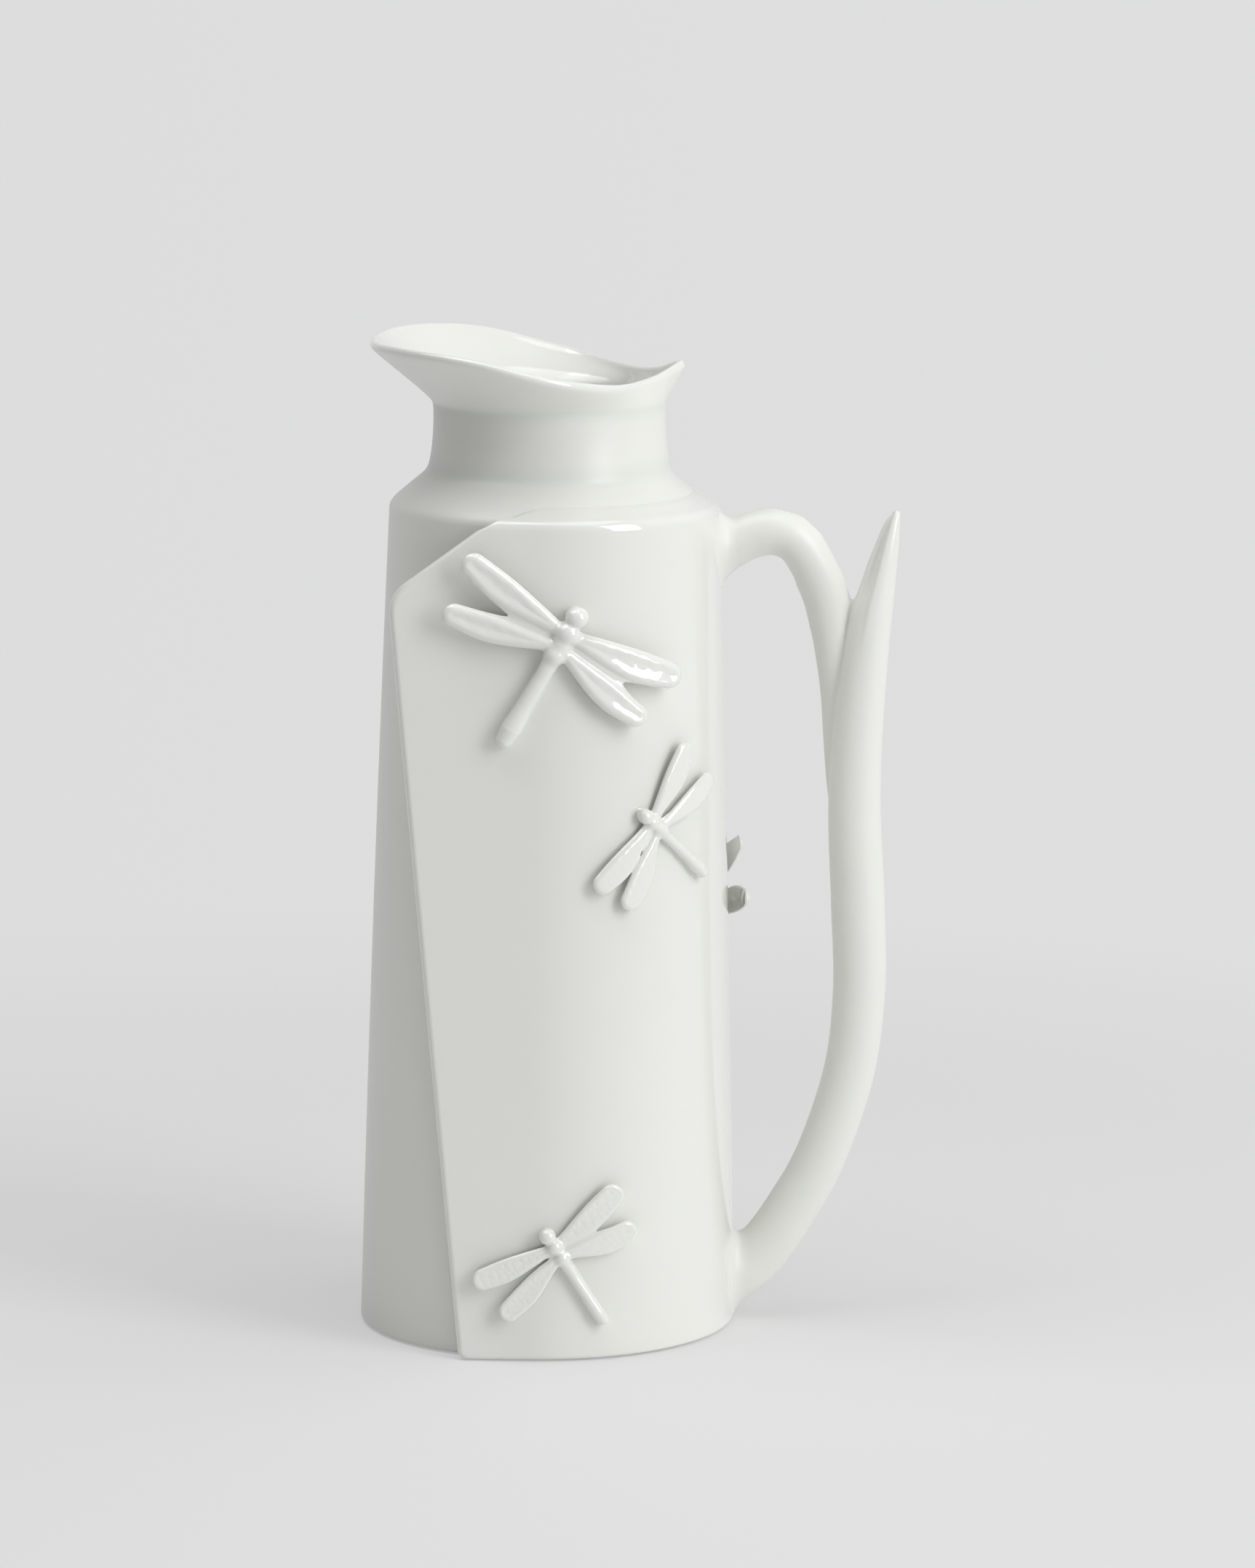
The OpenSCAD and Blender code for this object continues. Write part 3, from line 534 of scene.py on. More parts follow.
# Handle: a reed stalk that ends in a leaf and a second strand that runs down into it, one clay body
handleSet = {
    # Stalk: its root, then reach past the vessel's foot, rise and half thickness up to the leaf's tip
    "root": ((38, 12.4, 8.8), (48, 12.5, 8.9), (55.4, 14.7, 8.5)),
    "reach": (9.4, 17.5, 25.7, 33, 35.4, 34.6, 33.1, 33.3, 34.9, 36.5, 38.2, 39.9, 41.65, 42.85),
    "rise": (19.9, 31.9, 47.8, 71.6, 95.1, 119, 145, 165, 187, 201.6, 210.6, 218.8, 226.9, 230.3),
    "half": (7.6, 7.3, 7.15, 7.15, 7.35, 7.55, 7.35, 7.05, 6.4, 5.75, 4.65, 3.6, 2.15, 0.75),
    # Second strand, from the shoulder down to its end inside the stalk
    "armRoot": ((36, 216.9, 9.0), (45, 218.6, 7.8), (50.5, 220.9, 6.9), (55, 222.9, 6.5)),
    "armReach": (7.2, 10.4, 13.7, 16.8, 19.5, 23.3, 25.9, 27.5, 28.4, 28.7, 28.7),
    "armRise": (224.0, 223.8, 222.45, 219.4, 215.3, 207.3, 198, 188, 177.6, 166, 153),
    "armHalf": (6.5, 6.4, 6.4, 6.45, 6.5, 6.5, 6.3, 5.9, 5.3, 4.7, 3.5),
    "armEnd": ((81.6, 140, 2.2), (82.6, 126, 0.6), (83.6, 112, -1.5)),
    "armBack": 4.4, "backRise": (224, 196),  # step to the rear, and heights over which it grows
    # Hubs in the side view, heights where one hands over to the other, first place of the arm's lower part,
    # and how a tip ends: angle past it, and fall of the half thickness over that angle
    "hub": (0, 110), "leafHub": (-300, 110), "leafFrom": 115, "stalkTail": (0.12, 15), "leafTail": (0.02, 9),
    "armHub": (58, 185), "armLowHub": (-300, 190), "armLowTo": 196, "armLowFrom": 8, "armTail": (0.1, 5),
    # Width across a strand; leaf: depth of its groove, degrees that it faces, cosines at the groove's sides,
    # shares of the stalk's length over which it grows
    "flat": 0.95, "hollow": 0.4, "face": 48, "groove": (0.84, 0.995), "leaf": (0.68, 0.88),
    # Blend between the strands, more of it in the fork; blend onto the jacket, share of it where it ends
    "valley": 0.45, "notch": 2.6, "notchRise": (197, 206), "fillet": 5.0, "filletEnd": 0.97,
    "sink": 0.1, "skin": 1.5, "deep": 4.5, "footGap": 1.2,  # depths under the jacket's face, gap to the floor
    "gloss": 0.8, "glossRise": (195, 222), "glossReach": (80, 86),  # of the leaf
    "box": ((36, -15, 0.4), (98.5, 15, 236.5)), "step": 0.55, "tablePlaces": 900}


# Strand as a table over the angle round a hub: distance of its axis, cosine of its slant, half thickness,
# hollow; past its tip the half thickness falls on by the tail's amount within the tail's angle
def strandTable(places, hub, tail, leaf=None):
    t = np.linspace(0, len(places) - 1, handleSet["tablePlaces"])
    p = through(places, t)
    dx, dz = p[:, 0] - hub[0], p[:, 1] - hub[1]
    far, phi = np.hypot(dx, dz), np.arctan2(dz, dx)
    slant = np.gradient(far, phi) / far
    hollow = handleSet["hollow"] * ease(t / t[-1], *leaf) if leaf else 0 * t
    table = np.stack([phi, far, 1 / np.sqrt(1 + slant ** 2), p[:, 2], hollow], 1)
    tip = table[-1] + [np.sign(phi[-1] - phi[-2]) * tail[0], 0, 0, -tail[1], 0]
    table = np.vstack([table, tip])
    return table[np.argsort(table[:, 0])]


# Distance from a strand's skin: gap from the axis across the strand, less the half thickness, which a groove
# along the leaf's inner side cuts
def strand(table, hub, x, y, z):
    s = handleSet
    dx, dz = x - hub[0], z - hub[1]
    phi = np.arctan2(dz, dx)
    far, cosine, half, hollow = (np.interp(phi, table[:, 0], table[:, k]) for k in (1, 2, 3, 4))
    a = (np.hypot(dx, dz) - far) * cosine
    b = y / s["flat"]
    gap = np.hypot(a, b) + 1e-9  # never zero
    face = math.radians(s["face"])
    inward = -(a * math.cos(face) + b * math.sin(face)) / gap
    return gap - half * (1 - hollow * ease(inward, *s["groove"]))


# Places of a strand in the side view with its half thickness
def strandPlaces(root, reach, rise, half, end=()):
    return [*root, *((vesselSet["foot"] + a, b, c) for a, b, c in zip(reach, rise, half)), *end]


armKeys = ("armRoot", "armReach", "armRise", "armHalf", "armEnd")
armPlaces = strandPlaces(*(handleSet[key] for key in armKeys))
stalkPlaces = strandPlaces(*(handleSet[key] for key in ("root", "reach", "rise", "half")))
stalkTable = strandTable(stalkPlaces, handleSet["hub"], handleSet["stalkTail"], handleSet["leaf"])
leafTable = strandTable(stalkPlaces, handleSet["leafHub"], handleSet["leafTail"], handleSet["leaf"])
armTable = strandTable(armPlaces, handleSet["armHub"], handleSet["armTail"])
armLowPlaces = armPlaces[handleSet["armLowFrom"]:]
armLowTable = strandTable(armLowPlaces, handleSet["armLowHub"], handleSet["armTail"])


# Distance from the jacket's face with its rounded top
def jacketField(x, y, z):
    bend = jacketSet["round"]
    return roundCorner(np.hypot(x, y) - jacketRadius(np.minimum(z, jacketTop)), z - jacketTop - bend, bend)


# The two strands run together in a soft valley and out onto the jacket in a fillet, which ends where it has
# died away
def handleField(x, y, z):
    s = handleSet
    stalk = np.where(z < s["leafFrom"], strand(stalkTable, s["hub"], x, y, z),
                     strand(leafTable, s["leafHub"], x, y, z))
    across = y - s["armBack"] * ease(z, *s["backRise"])
    arm = np.where(z < s["armLowTo"], strand(armLowTable, s["armLowHub"], x, across, z),
                   strand(armTable, s["armHub"], x, across, z))
    strands = softMin(stalk, arm, s["valley"] + s["notch"] * ease(z, *s["notchRise"]))
    under = jacketField(x, y, z) + s["sink"]
    solid = np.maximum(softMin(strands, under, s["fillet"]), strands - s["filletEnd"] * s["fillet"])
    level = s["footGap"] - z * math.cos(lean) + x * math.sin(lean)
    deep = jacketRadius(np.minimum(z, jacketTop)) - s["deep"] - np.hypot(x, y)
    return np.maximum(solid, np.maximum(np.maximum(-under - s["skin"], deep), level))


handlePoints, handleQuads = netSurface(handleField, *handleSet["box"], handleSet["step"])
leafGloss = (handleSet["gloss"] * ease(handlePoints[:, 2], *handleSet["glossRise"])
             * ease(handlePoints[:, 0], *handleSet["glossReach"]))
handle = makePiece("handle", leaning(handlePoints), handleQuads,
                   ["handle_stalk", "handle_arm"], satin=1 - leafGloss)


# Dragonflies: each one clay body of head, thorax, tail and four wings, pressed onto the jacket
flySet = {
    "root": (2.6, -1.4), "span": 33, "spanEnd": 1.1, "curl": 1.3,  # wings: roots, and how they rise outwards
    # Their thickness, rounding, gap at the middle, blend of fore and hind, and dish inside the dome
    "thick": 2.0, "edge": 0.5, "gap": 1.0, "join": 0.3, "dishFrom": 0.9, "dishGrow": 2.2,
    "webRoot": 0.75, "webRise": (3, 9), "webFall": 0.8,  # web: share at the root, growth, share lost
    # Pressing and pebbles: how far inside the outline they begin and are full
    "dentIn": (0.3, 1.2), "cellSize": 2.7, "cellMean": 0.6, "cellIn": (0.9, 1.5),
    "tailAt": (-30.3, -27, -20, -11, -6, -3), "tailRise": (2.5, 2.4, 2.0, 1.8, 1.9, 2.1),
    # Balls of the body: how they are drawn out below, and blends
    "tailSink": 0.6, "humpSink": 0.7, "humpJoin": 1.0, "headSink": 0.75, "headJoin": 0.9, "headGap": 0.25,
    # Blends of wings with body and of both with the jacket, depths under its face, and painted shade low down
    # by the jacket, darker and greener as pooled glaze
    "weld": 1.2, "fillet": 0.9, "filletEnd": 0.97, "sink": 0.02, "skin": 0.7,
    "poolShade": 0.6, "poolShadeRise": (2.5, 0.2), "box": ((-36, -36.5, -1.1), (13, 36.5, 8.6)), "step": 0.25}
# Place: degrees round the jacket, height, heading, size. Tips and half widths of the wings go left fore,
# right fore, left hind, right hind. Head: place and radius. Humps: place, radius, rise. Tail: radii
flies = {
    "upper": {"place": (-86.3, 199.6, 28, 1.0), "tips": ((9.7, -33), (6.3, 33.1), (-5.9, -31), (-8.6, 29.3)),
              "half": (4.1, 4.5, 3.9, 3.9), "grow": 1.4, "taper": 0.18, "lift": (2.95, 5.75),
              "web": 4.8, "webEnd": (40, 50), "dome": (1.9, 1.1), "dish": 0.28, "dent": 0.05, "cells": 0,
              "head": (8.0, 3.05), "humps": ((-3.7, 2.8, 2.6), (-0.4, 2.55, 2.6), (3.2, 3.2, 3.1)),
              "tail": (2.2, 2.75, 2.35, 2.15, 2.35, 2.5)},
    "middle": {"place": (-54.3, 148, -49.4, 0.74),
               "tips": ((4.9, -32.7), (9.8, 32), (-8.3, -31.4), (-10.2, 31)),
               "half": (4.7, 5.0, 4.6, 4.6), "grow": 1.9, "taper": 0.15, "lift": (2.6, 4.4),
               "web": 4.2, "webEnd": (5, 12), "dome": (1.9, 1.05), "dish": 0.0, "dent": 0.03, "cells": 0,
               "head": (6.9, 2.85), "humps": ((-3.2, 2.5, 2.2), (-0.4, 2.5, 2.3), (2.9, 2.8, 2.5)),
               "tail": (2.3, 2.6, 2.2, 2.0, 2.2, 2.4)},
    "lower": {"place": (-84.9, 30.9, -32.5, 0.74),
              "tips": ((8.9, -33.2), (10.3, 31.4), (-8.2, -31), (-6.5, 28.9)),
              "half": (4.5, 4.8, 4.5, 4.6), "grow": 1.9, "taper": 0.1, "lift": (2.5, 4.5),
              "web": 4.0, "webEnd": (40, 50), "dome": (1.3, 0.6), "dish": 0.12, "dent": 0.04, "cells": 0.08,
              "head": (7.9, 3.1), "humps": ((-2.0, 2.6, 2.4), (3.0, 2.9, 2.8)),
              "tail": (2.1, 2.35, 2.15, 2.05, 2.2, 2.4)},
    "rear": {"place": (37.6, 112.7, 206, 0.95),
             "tips": ((8.6, -32.4), (8.1, 36.2), (-7.6, -29.3), (-10.4, 33.0)),
             "half": (4.0, 4.3, 3.7, 4.0), "grow": 1.3, "taper": 0.42, "lift": (2.95, 5.75),
             "web": 4.0, "webEnd": (40, 50), "dome": (3.4, 1.3), "dish": 0.0, "dent": 0.05, "cells": 0,
             "head": (8.0, 3.05), "humps": ((-3.3, 2.85, 2.7), (2.8, 3.1, 3.2)),
             "tail": (2.2, 2.7, 2.3, 2.1, 2.3, 2.5)}}
# Wings in shares of their length and width
wingSet = {"root": 0.4, "widest": 0.76, "taperFrom": 0.7, "taperGrow": 0.5, "drift": 0.55}


# Distance outside a wing's outline: half width that grows along the wing as a power of a sine and tapers to
# the end as a parabola, a front edge that stays nearly straight because the middle line drifts back as the
# wing widens, and a round end
def wingOutline(u, r, root, tip, wide, grow, taper):
    s = wingSet
    du, dr = tip[0] - root, tip[1]
    long = math.hypot(du, dr)
    along = ((u - root) * du + r * dr) / long
    across = ((u - root) * abs(dr) - r * du * math.copysign(1, dr)) / long
    end = long - wide * (1 - taper)
    f = np.clip(along / end, 0, 1)
    swell = (1 - s["root"]) * np.sin(np.pi / 2 * np.clip(f / s["widest"], 0, 1)) ** grow
    taperStart = s["taperFrom"] - s["taperGrow"] * taper
    narrow = taper * np.clip((f - taperStart) / (1 - taperStart), 0, 1) ** 2
    half = wide * (s["root"] + swell - narrow)
    across = across + s["drift"] * (half - s["root"] * wide)
    gap = np.hypot(np.maximum(along - end, 0), across) - half
    return np.where(r * dr > 0, gap, np.maximum(gap, -along))


# Uneven hand pressing: a few crossing sine waves of some millimetres, between about -1 and 1
def pressing(u, r):
    return (np.sin(1.35 * u + 0.8 * np.sin(0.55 * r + 1)) * np.sin(0.9 * r - 0.4 * u + 2)
            + 0.6 * np.sin(0.7 * u - 1.9 * r) + 0.4 * np.sin(2.3 * u + 1.2 * r + 4)) / 1.6


# Pebbled cells: points on a lattice shaken by sines, each with a flat dome that falls to a groove halfway to
# its neighbours
def pebbles(u, r, size):
    shake, groove = 0.36, 1.5
    first = np.full(np.broadcast(u, r).shape, np.inf)
    second = first.copy()
    i, k = np.floor(u / size), np.floor(r / size)
    for a in (-1, 0, 1):
        for b in (-1, 0, 1):
            m, n = i + a, k + b
            du = (m + 0.5 + shake * np.sin(12.7 * m + 31.1 * n)) * size - u
            dr = (n + 0.5 + shake * np.sin(26.3 * m + 7.9 * n + 2)) * size - r
            gap = np.hypot(du, dr)
            second = np.minimum(second, np.maximum(first, gap))
            first = np.minimum(first, gap)
    return ease(second - first, 0, groove)


# Distance from a ball at a place along the body and a rise over the jacket, drawn out below its middle
def ball(u, r, t, at, rise, size, sink):
    tall = np.where(t < rise, sink, 1.0) * (t - rise)
    return np.sqrt((u - at) ** 2 + r ** 2 + tall ** 2) - size


# Clay of a dragonfly over the jacket, with u forward, r sideways and t up: each wing rises from its outline
# as a parabola and falls into a shallow dish, a lower web fills between the wings, the body is a row of
# balls and a tapered tail, all run together
def flyField(fly):
    s = flySet
    wide, tall = fly["dome"]
    roots = np.repeat(s["root"], 2)

    def crown(gap):
        dishStart = wide * s["dishFrom"]
        dish = fly["dish"] * ease(-gap, dishStart, dishStart + s["dishGrow"])
        return -tall * np.clip(1 + gap / wide, 0, 1) ** 2 - dish

    def wings(u, r, t):
        outlines = [wingOutline(u, r, root, tip, half, fly["grow"], fly["taper"])
                    for root, tip, half in zip(roots, fly["tips"], fly["half"])]
        fore, hind = np.minimum(*outlines[:2]), np.minimum(*outlines[2:])
        side = np.abs(r)
        web = fly["web"] * (s["webRoot"] + (1 - s["webRoot"]) * ease(side, *s["webRise"]))
        plan = softMin(fore, hind, web * (1 - s["webFall"] * ease(side, *fly["webEnd"])))
        share = np.minimum(side / s["span"], s["spanEnd"])
        middle = fly["lift"][0] + (fly["lift"][1] - fly["lift"][0]) * share ** s["curl"]
        deep = np.maximum(-plan, 0)
        rise = -softMin(-crown(fore), -crown(hind), s["join"])
        rise = rise + fly["dent"] * pressing(u, r) * ease(deep, *s["dentIn"])
        if fly["cells"]:
            cells = pebbles(u, r, s["cellSize"]) - s["cellMean"]
            rise = rise + fly["cells"] * cells * ease(deep, *s["cellIn"])
        flat = np.maximum(t - middle - s["thick"] / 2 - rise, middle - s["thick"] / 2 - t)
        return np.maximum(roundCorner(plan, flat, s["edge"]), s["gap"] - side)

    def body(u, r, t):
        along = np.clip(u, s["tailAt"][0], s["tailAt"][-1])
        axis, radius = (np.interp(along, s["tailAt"], line) for line in (s["tailRise"], fly["tail"]))
        clay = ball(u, r, t, along, axis, radius, s["tailSink"])
        for at, size, rise in fly["humps"]:
            clay = softMin(clay, ball(u, r, t, at, rise, size, s["humpSink"]), s["humpJoin"])
        at, size = fly["head"]
        return softMin(clay, ball(u, r, t, at, size + s["headGap"], size, s["headSink"]), s["headJoin"])

    def field(u, r, t):
        clay = softMin(wings(u, r, t), body(u, r, t), s["weld"])
        under = t + s["sink"]
        solid = np.maximum(softMin(clay, under, s["fillet"]), clay - s["filletEnd"] * s["fillet"])
        return np.maximum(solid, -under - s["skin"])
    return field


# Local place over the jacket to the object's frame: turned by the heading, led round the jacket and the flap
def overJacket(p, place):
    at, height, heading, size = place
    a = math.radians(heading)
    u, r, t = (p * size).T
    arc = u * math.sin(a) + r * math.cos(a)
    tall = height + u * math.cos(a) - r * math.sin(a)
    radius = jacketRadius(height)
    return leaning(onJacket((math.radians(at) * radius + arc) * arcRadius / radius, tall, -t))


flyPieces = []
for name, fly in flies.items():
    flyPoints, flyQuads = netSurface(flyField(fly), *flySet["box"], flySet["step"])
    wingNodes = [f"{name}_{side}_{wing}" for side in ("left", "right") for wing in ("forewing", "hindwing")]
    # Painted shade: the colour darkens and greens low on each dragonfly, next to the jacket
    flyPieces.append(makePiece(name + "_dragonfly", overJacket(flyPoints, fly["place"]), flyQuads[:, ::-1],
                               [name + "_body"] + wingNodes,
                               poolShade=flySet["poolShade"] * ease(flyPoints[:, 2], *flySet["poolShadeRise"])))


# One output of a shader node, on which maths is written as plain arithmetic
class Wire:
    def __init__(self, tree, socket):
        self.tree, self.socket = tree, socket

    # Any node: its type, its settings, then the values or wires of its inputs
    def node(self, kind, settings=None, inputs=None, out=0):
        made = self.tree.nodes.new(kind)
        for key, value in (settings or {}).items():
            setattr(made, key, value)
        for key, value in (inputs or {}).items():
            if isinstance(value, Wire):
                self.tree.links.new(value.socket, made.inputs[key])
            else:
                made.inputs[key].default_value = value
        return Wire(self.tree, made.outputs[out])

    # Another output of the node that this one comes from
    def output(self, name):
        return Wire(self.tree, self.socket.node.outputs[name])

    def math(self, how, a, b=0.0):
        return self.node("ShaderNodeMath", {"operation": how}, {0: a, 1: b})

    # Colour between a and b by this value
    def mix(self, a, b):
        return self.node("ShaderNodeMix", {"data_type": "RGBA"}, {0: self, 6: a, 7: b}, 2)

    # Noise at these coordinates
    def noise(self, scale, detail, roughness=0.5):
        return self.node("ShaderNodeTexNoise", None,
                         {"Vector": self, "Scale": scale, "Detail": detail, "Roughness": roughness})

    def mark(self, name):
        return self.node("ShaderNodeAttribute", {"attribute_name": name}, None, 2)

    # This value from one range to another, kept within it; smooth or straight
    def spread(self, low, high, toLow=0.0, toHigh=1.0, how="SMOOTHSTEP"):
        return self.node("ShaderNodeMapRange", {"interpolation_type": how}, {
            "Value": self, "From Min": low, "From Max": high, "To Min": toLow, "To Max": toHigh})

    def __add__(self, other):
        return self.math("ADD", self, other)

    def __radd__(self, other):
        return self.math("ADD", other, self)

    def __sub__(self, other):
        return self.math("SUBTRACT", self, other)

    def __rsub__(self, other):
        return self.math("SUBTRACT", other, self)

    def __mul__(self, other):
        return self.math("MULTIPLY", self, other)

    def __rmul__(self, other):
        return self.math("MULTIPLY", other, self)

    def __truediv__(self, other):
        return self.math("DIVIDE", self, other)

    def __rtruediv__(self, other):
        return self.math("DIVIDE", other, self)


# New material: gives it with its principled shader and a wire with the object's own coordinates
def newMaterial(name):
    mat = bpy.data.materials.new(name)
    mat.use_nodes = True
    tree = mat.node_tree
    shader = next(n for n in tree.nodes if n.type == "BSDF_PRINCIPLED")
    place = Wire(tree, tree.nodes.new("ShaderNodeTexCoord").outputs["Object"])
    return mat, shader, place


def feed(shader, name, wire):
    wire.tree.links.new(wire.socket, shader.inputs[name])


# Clear glaze over white clay: faint clouding, painted shade in a darker, greener tone as of pooled glaze
# where the poolShade mark is, a skin that is not quite even, and less gloss where it is marked satin. Noises:
# scale, detail, roughness
glazeSet = {
    "white_glaze": {"tone": (0.745, 0.752, 0.712, 1), "cool": (0.728, 0.737, 0.697, 1), "rough": 0.07,
                    "wave": 0.12, "coat": 0.8},
    "relief_glaze": {"tone": (0.755, 0.762, 0.722, 1), "cool": (0.738, 0.747, 0.707, 1), "rough": 0.06,
                     "wave": 0.22, "coat": 1.0},
    # Colour of the painted shade, and how much of it the poolShade mark lays on
    "both": {"poolShade": (0.66, 0.68, 0.64, 1), "poolShadeShare": 0.55, "cloud": (22.0, 3.0, 0.55),
             "cloudRough": 0.03, "fine": (420.0, 2.0), "fineRough": 0.02, "fineHeight": 0.012,
             "skin": (34.0, 1.5, 0.4), "skinHeight": 0.0012, "satinFull": 0.2, "satinRough": 0.27,
             "index": 1.5, "coatRough": 0.035}}


def glaze(name):
    g = {**glazeSet["both"], **glazeSet[name]}
    mat, shader, place = newMaterial(name)
    cloud, fine, skin = (place.noise(*g[key]) for key in ("cloud", "fine", "skin"))
    poolShade, satin = place.mark("poolShade"), place.mark("satin")
    # Base colour: clouded tone, darkened and greened by painted shade where the poolShade mark is
    feed(shader, "Base Color", (poolShade * g["poolShadeShare"]).mix(cloud.mix(g["tone"], g["cool"]), g["poolShade"]))
    dull = satin.spread(0.0, g["satinFull"], 0.0, g["satinRough"])
    feed(shader, "Roughness", g["rough"] + dull + cloud * g["cloudRough"] + fine * g["fineRough"])
    feed(shader, "Normal", place.node("ShaderNodeBump", None, {
        "Strength": g["wave"], "Distance": g["skinHeight"], "Height": skin + fine * g["fineHeight"]}))
    feed(shader, "Coat Weight", g["coat"] - satin * g["coat"])
    shader.inputs["IOR"].default_value = g["index"]
    shader.inputs["Coat Roughness"].default_value = g["coatRough"]
    return mat


# Bare ground clay of the foot: warm, dull and finely grained
claySet = {"tones": ((0.78, 0.76, 0.70, 1), (0.86, 0.84, 0.79, 1)), "grain": (900.0, 5.0, 0.65),
           "blot": (60.0, 3.0), "grainShare": 0.6, "blotShare": 0.4, "rough": 0.72, "grainRough": 0.12,
           "wave": 0.35, "grainHeight": 0.0002}


def bareClay():
    g = claySet
    mat, shader, place = newMaterial("bare_foot")
    grain, blot = place.noise(*g["grain"]), place.noise(*g["blot"])
    feed(shader, "Base Color", (grain * g["grainShare"] + blot * g["blotShare"]).mix(*g["tones"]))
    feed(shader, "Roughness", g["rough"] + grain * g["grainRough"])
    feed(shader, "Normal", place.node("ShaderNodeBump", None, {
        "Strength": g["wave"], "Distance": g["grainHeight"], "Height": grain}))
    return mat


for mat, pieces in ((glaze("white_glaze"), (vessel, jacket, handle)), (glaze("relief_glaze"), flyPieces),
                    (bareClay(), (footRing,))):
    for piece in pieces:
        piece.data.materials.append(mat)
print("materials made")


# Place of an object from its three axes and its spot in metres
def placeMatrix(right, up, back, spot):
    return Matrix([[right[i], up[i], back[i], spot[i]] for i in range(3)] + [[0, 0, 0, 1]])


# Camera at the photograph's place: tilted down, rolled a little, long lens
cameraSet = {"place": (22.40475, -2050.0, 507.41703), "tilt": 9.82859, "roll": 0.229182, "lens": 171.24688,
             "sensor": 36, "clipEnd": 100}


def photoCamera():
    tilt, roll = math.radians(cameraSet["tilt"]), math.radians(cameraSet["roll"])
    lens = bpy.data.cameras.new("camera")
    lens.lens, lens.sensor_width, lens.clip_end = (cameraSet[key] for key in ("lens", "sensor", "clipEnd"))
    camera = newObject("camera", lens)
    camera.matrix_world = placeMatrix(
        (math.cos(roll), math.sin(tilt) * math.sin(roll), math.cos(tilt) * math.sin(roll)),
        (-math.sin(roll), math.sin(tilt) * math.cos(roll), math.cos(tilt) * math.cos(roll)),
        (0, -math.cos(tilt), math.sin(tilt)), [value * mm for value in cameraSet["place"]])
    bpy.context.scene.camera = camera


photoCamera()


# Pale floor in metres: plainly lit for the object's light, and partly an even glow to the eye, wholly so
# further off. The glow changes from left to right as seen from a spot in front
floorSet = {"half": 14.0, "drop": 2e-5, "tones": ((0.93, 0.93, 0.93, 1), (0.95, 0.95, 0.95, 1)),
            "bright": (0.79, 0.79, 0.79, 1), "grain": (2.0, 2.0), "rough": 0.9,
            "near": 0.18, "far": 0.65, "share": 0.48, "spotAway": 2.2, "spotSpread": 0.16,
            "glow": ((0.715, 0.715, 0.718, 1), (0.745, 0.745, 0.748, 1))}


def floorMaterial():
    s = floorSet
    mat, shader, place = newMaterial("floor")
    path = place.node("ShaderNodeLightPath")
    seen = path.output("Is Camera Ray")
    eye = place.math("MAXIMUM", seen, path.output("Is Glossy Ray"))
    feed(shader, "Base Color", seen.mix(place.noise(*s["grain"]).mix(*s["tones"]), s["bright"]))
    shader.inputs["Roughness"].default_value = s["rough"]
    shader.inputs["Specular IOR Level"].default_value = 0.0
    away = place.node("ShaderNodeVectorMath", {"operation": "LENGTH"}, {0: place}, 1)
    away = away.spread(s["near"], s["far"], s["share"])
    x = place.node("ShaderNodeSeparateXYZ", None, {0: place})
    across = (x / (x.output("Y") + s["spotAway"])).spread(-s["spotSpread"], s["spotSpread"], how="LINEAR")
    glow = place.node("ShaderNodeEmission", None, {"Color": across.mix(*s["glow"])})
    both = place.node("ShaderNodeMixShader", None,
                      {0: away * eye, 1: Wire(mat.node_tree, shader.outputs[0]), 2: glow})
    out = next(n for n in mat.node_tree.nodes if n.type == "OUTPUT_MATERIAL")
    feed(out, "Surface", both)
    return mat


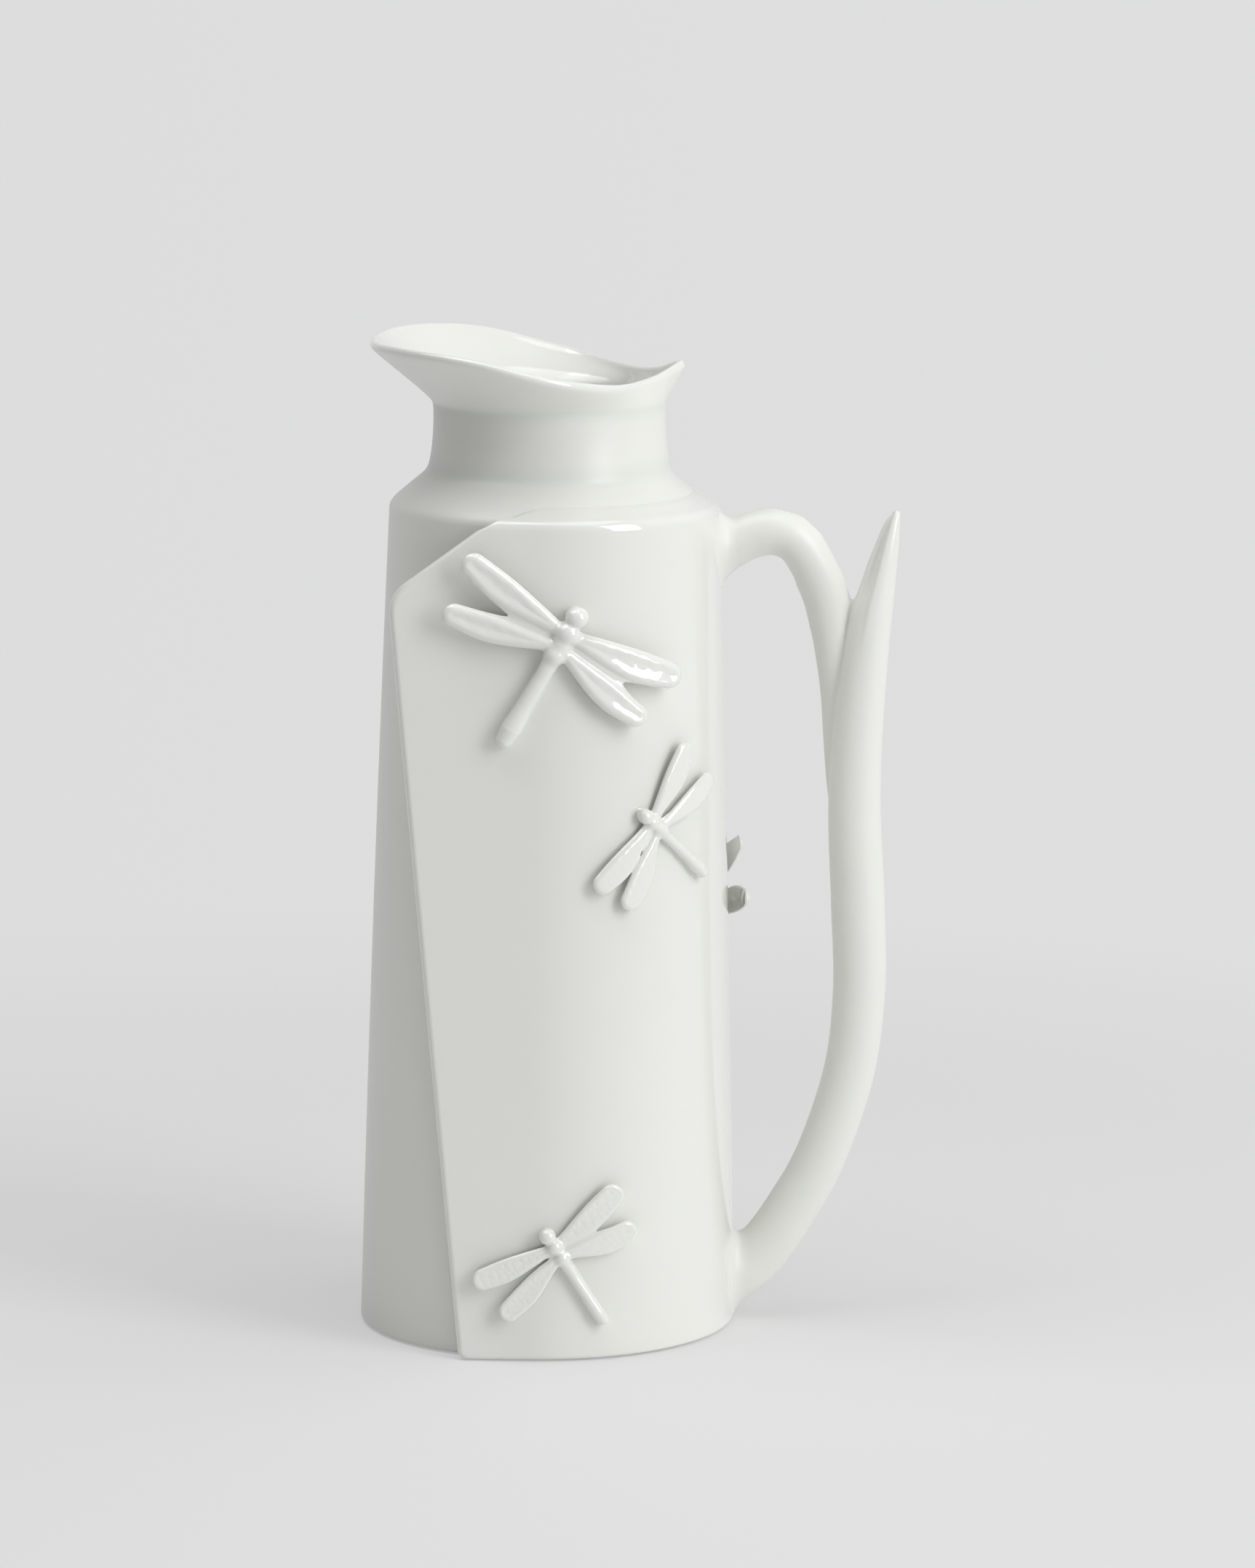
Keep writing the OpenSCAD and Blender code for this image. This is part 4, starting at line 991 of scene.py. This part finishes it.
half, drop = floorSet["half"], -floorSet["drop"]
floorMesh = bpy.data.meshes.new("floor")
floorMesh.from_pydata([(x * half, y * half, drop) for x, y in ((-1, -1), (1, -1), (1, 1), (-1, 1))], [],
                      [(0, 1, 2, 3)])
floor = newObject("floor", floorMesh)
floorMesh.materials.append(floorMaterial())


# Soft boxes: each at an azimuth from the front towards the handle, an elevation, a distance and a size in
# metres, with its power, all turned to one height over the floor
lightSet = {"key": (52, 25, 1.4, (0.52, 1.15), 9.2), "left": (-75, 66, 1.4, (0.9, 0.9), 5.2),
            "over": (0, 82, 1.4, (1.2, 1.2), 6.3)}
lightHeight = 0.13


def softBox(name, azimuth, elevation, distance, size, power):
    a, e = math.radians(azimuth), math.radians(elevation)
    out = np.array([math.sin(a) * math.cos(e), -math.cos(a) * math.cos(e), math.sin(e)])
    side = np.cross((0, 0, 1), out)
    side /= np.linalg.norm(side)
    lamp = bpy.data.lights.new(name, "AREA")
    lamp.shape, lamp.energy = "RECTANGLE", power
    lamp.size, lamp.size_y = size
    spot = np.array([0, 0, lightHeight]) + out * distance
    newObject(name, lamp).matrix_world = placeMatrix(side, np.cross(out, side), out, spot)


for name, values in lightSet.items():
    softBox(name, *values)


# Pale surround, brightest to the handle's side: lobes that fall off with the cosine from their own way; the
# glaze mirrors an even one
skySet = {"lobes": (((0.98, 0, 0.196), 0.88), ((-1, 0, 0), 0.13), ((0, -0.98, 0.196), 0.07)), "mirror": 0.73}


def surround():
    world = bpy.data.worlds.new("surround")
    bpy.context.scene.world = world
    world.use_nodes = True
    tree = world.node_tree
    way = Wire(tree, tree.nodes.new("ShaderNodeTexCoord").outputs["Generated"])
    mirror = way.node("ShaderNodeLightPath").output("Is Glossy Ray")
    level = 0.0
    for lobe, strength in skySet["lobes"]:
        dot = way.node("ShaderNodeVectorMath", {"operation": "DOT_PRODUCT"}, {0: way, 1: lobe}, 1)
        level = way.math("MAXIMUM", dot, 0.0) * strength + level
    ground = next(n for n in tree.nodes if n.type == "BACKGROUND")
    ground.inputs["Color"].default_value = (1, 1, 1, 1)
    feed(ground, "Strength", level * (1.0 - mirror) + mirror * skySet["mirror"])


surround()
bpy.context.scene.view_settings.view_transform = "Standard"
print("camera, floor and light set")
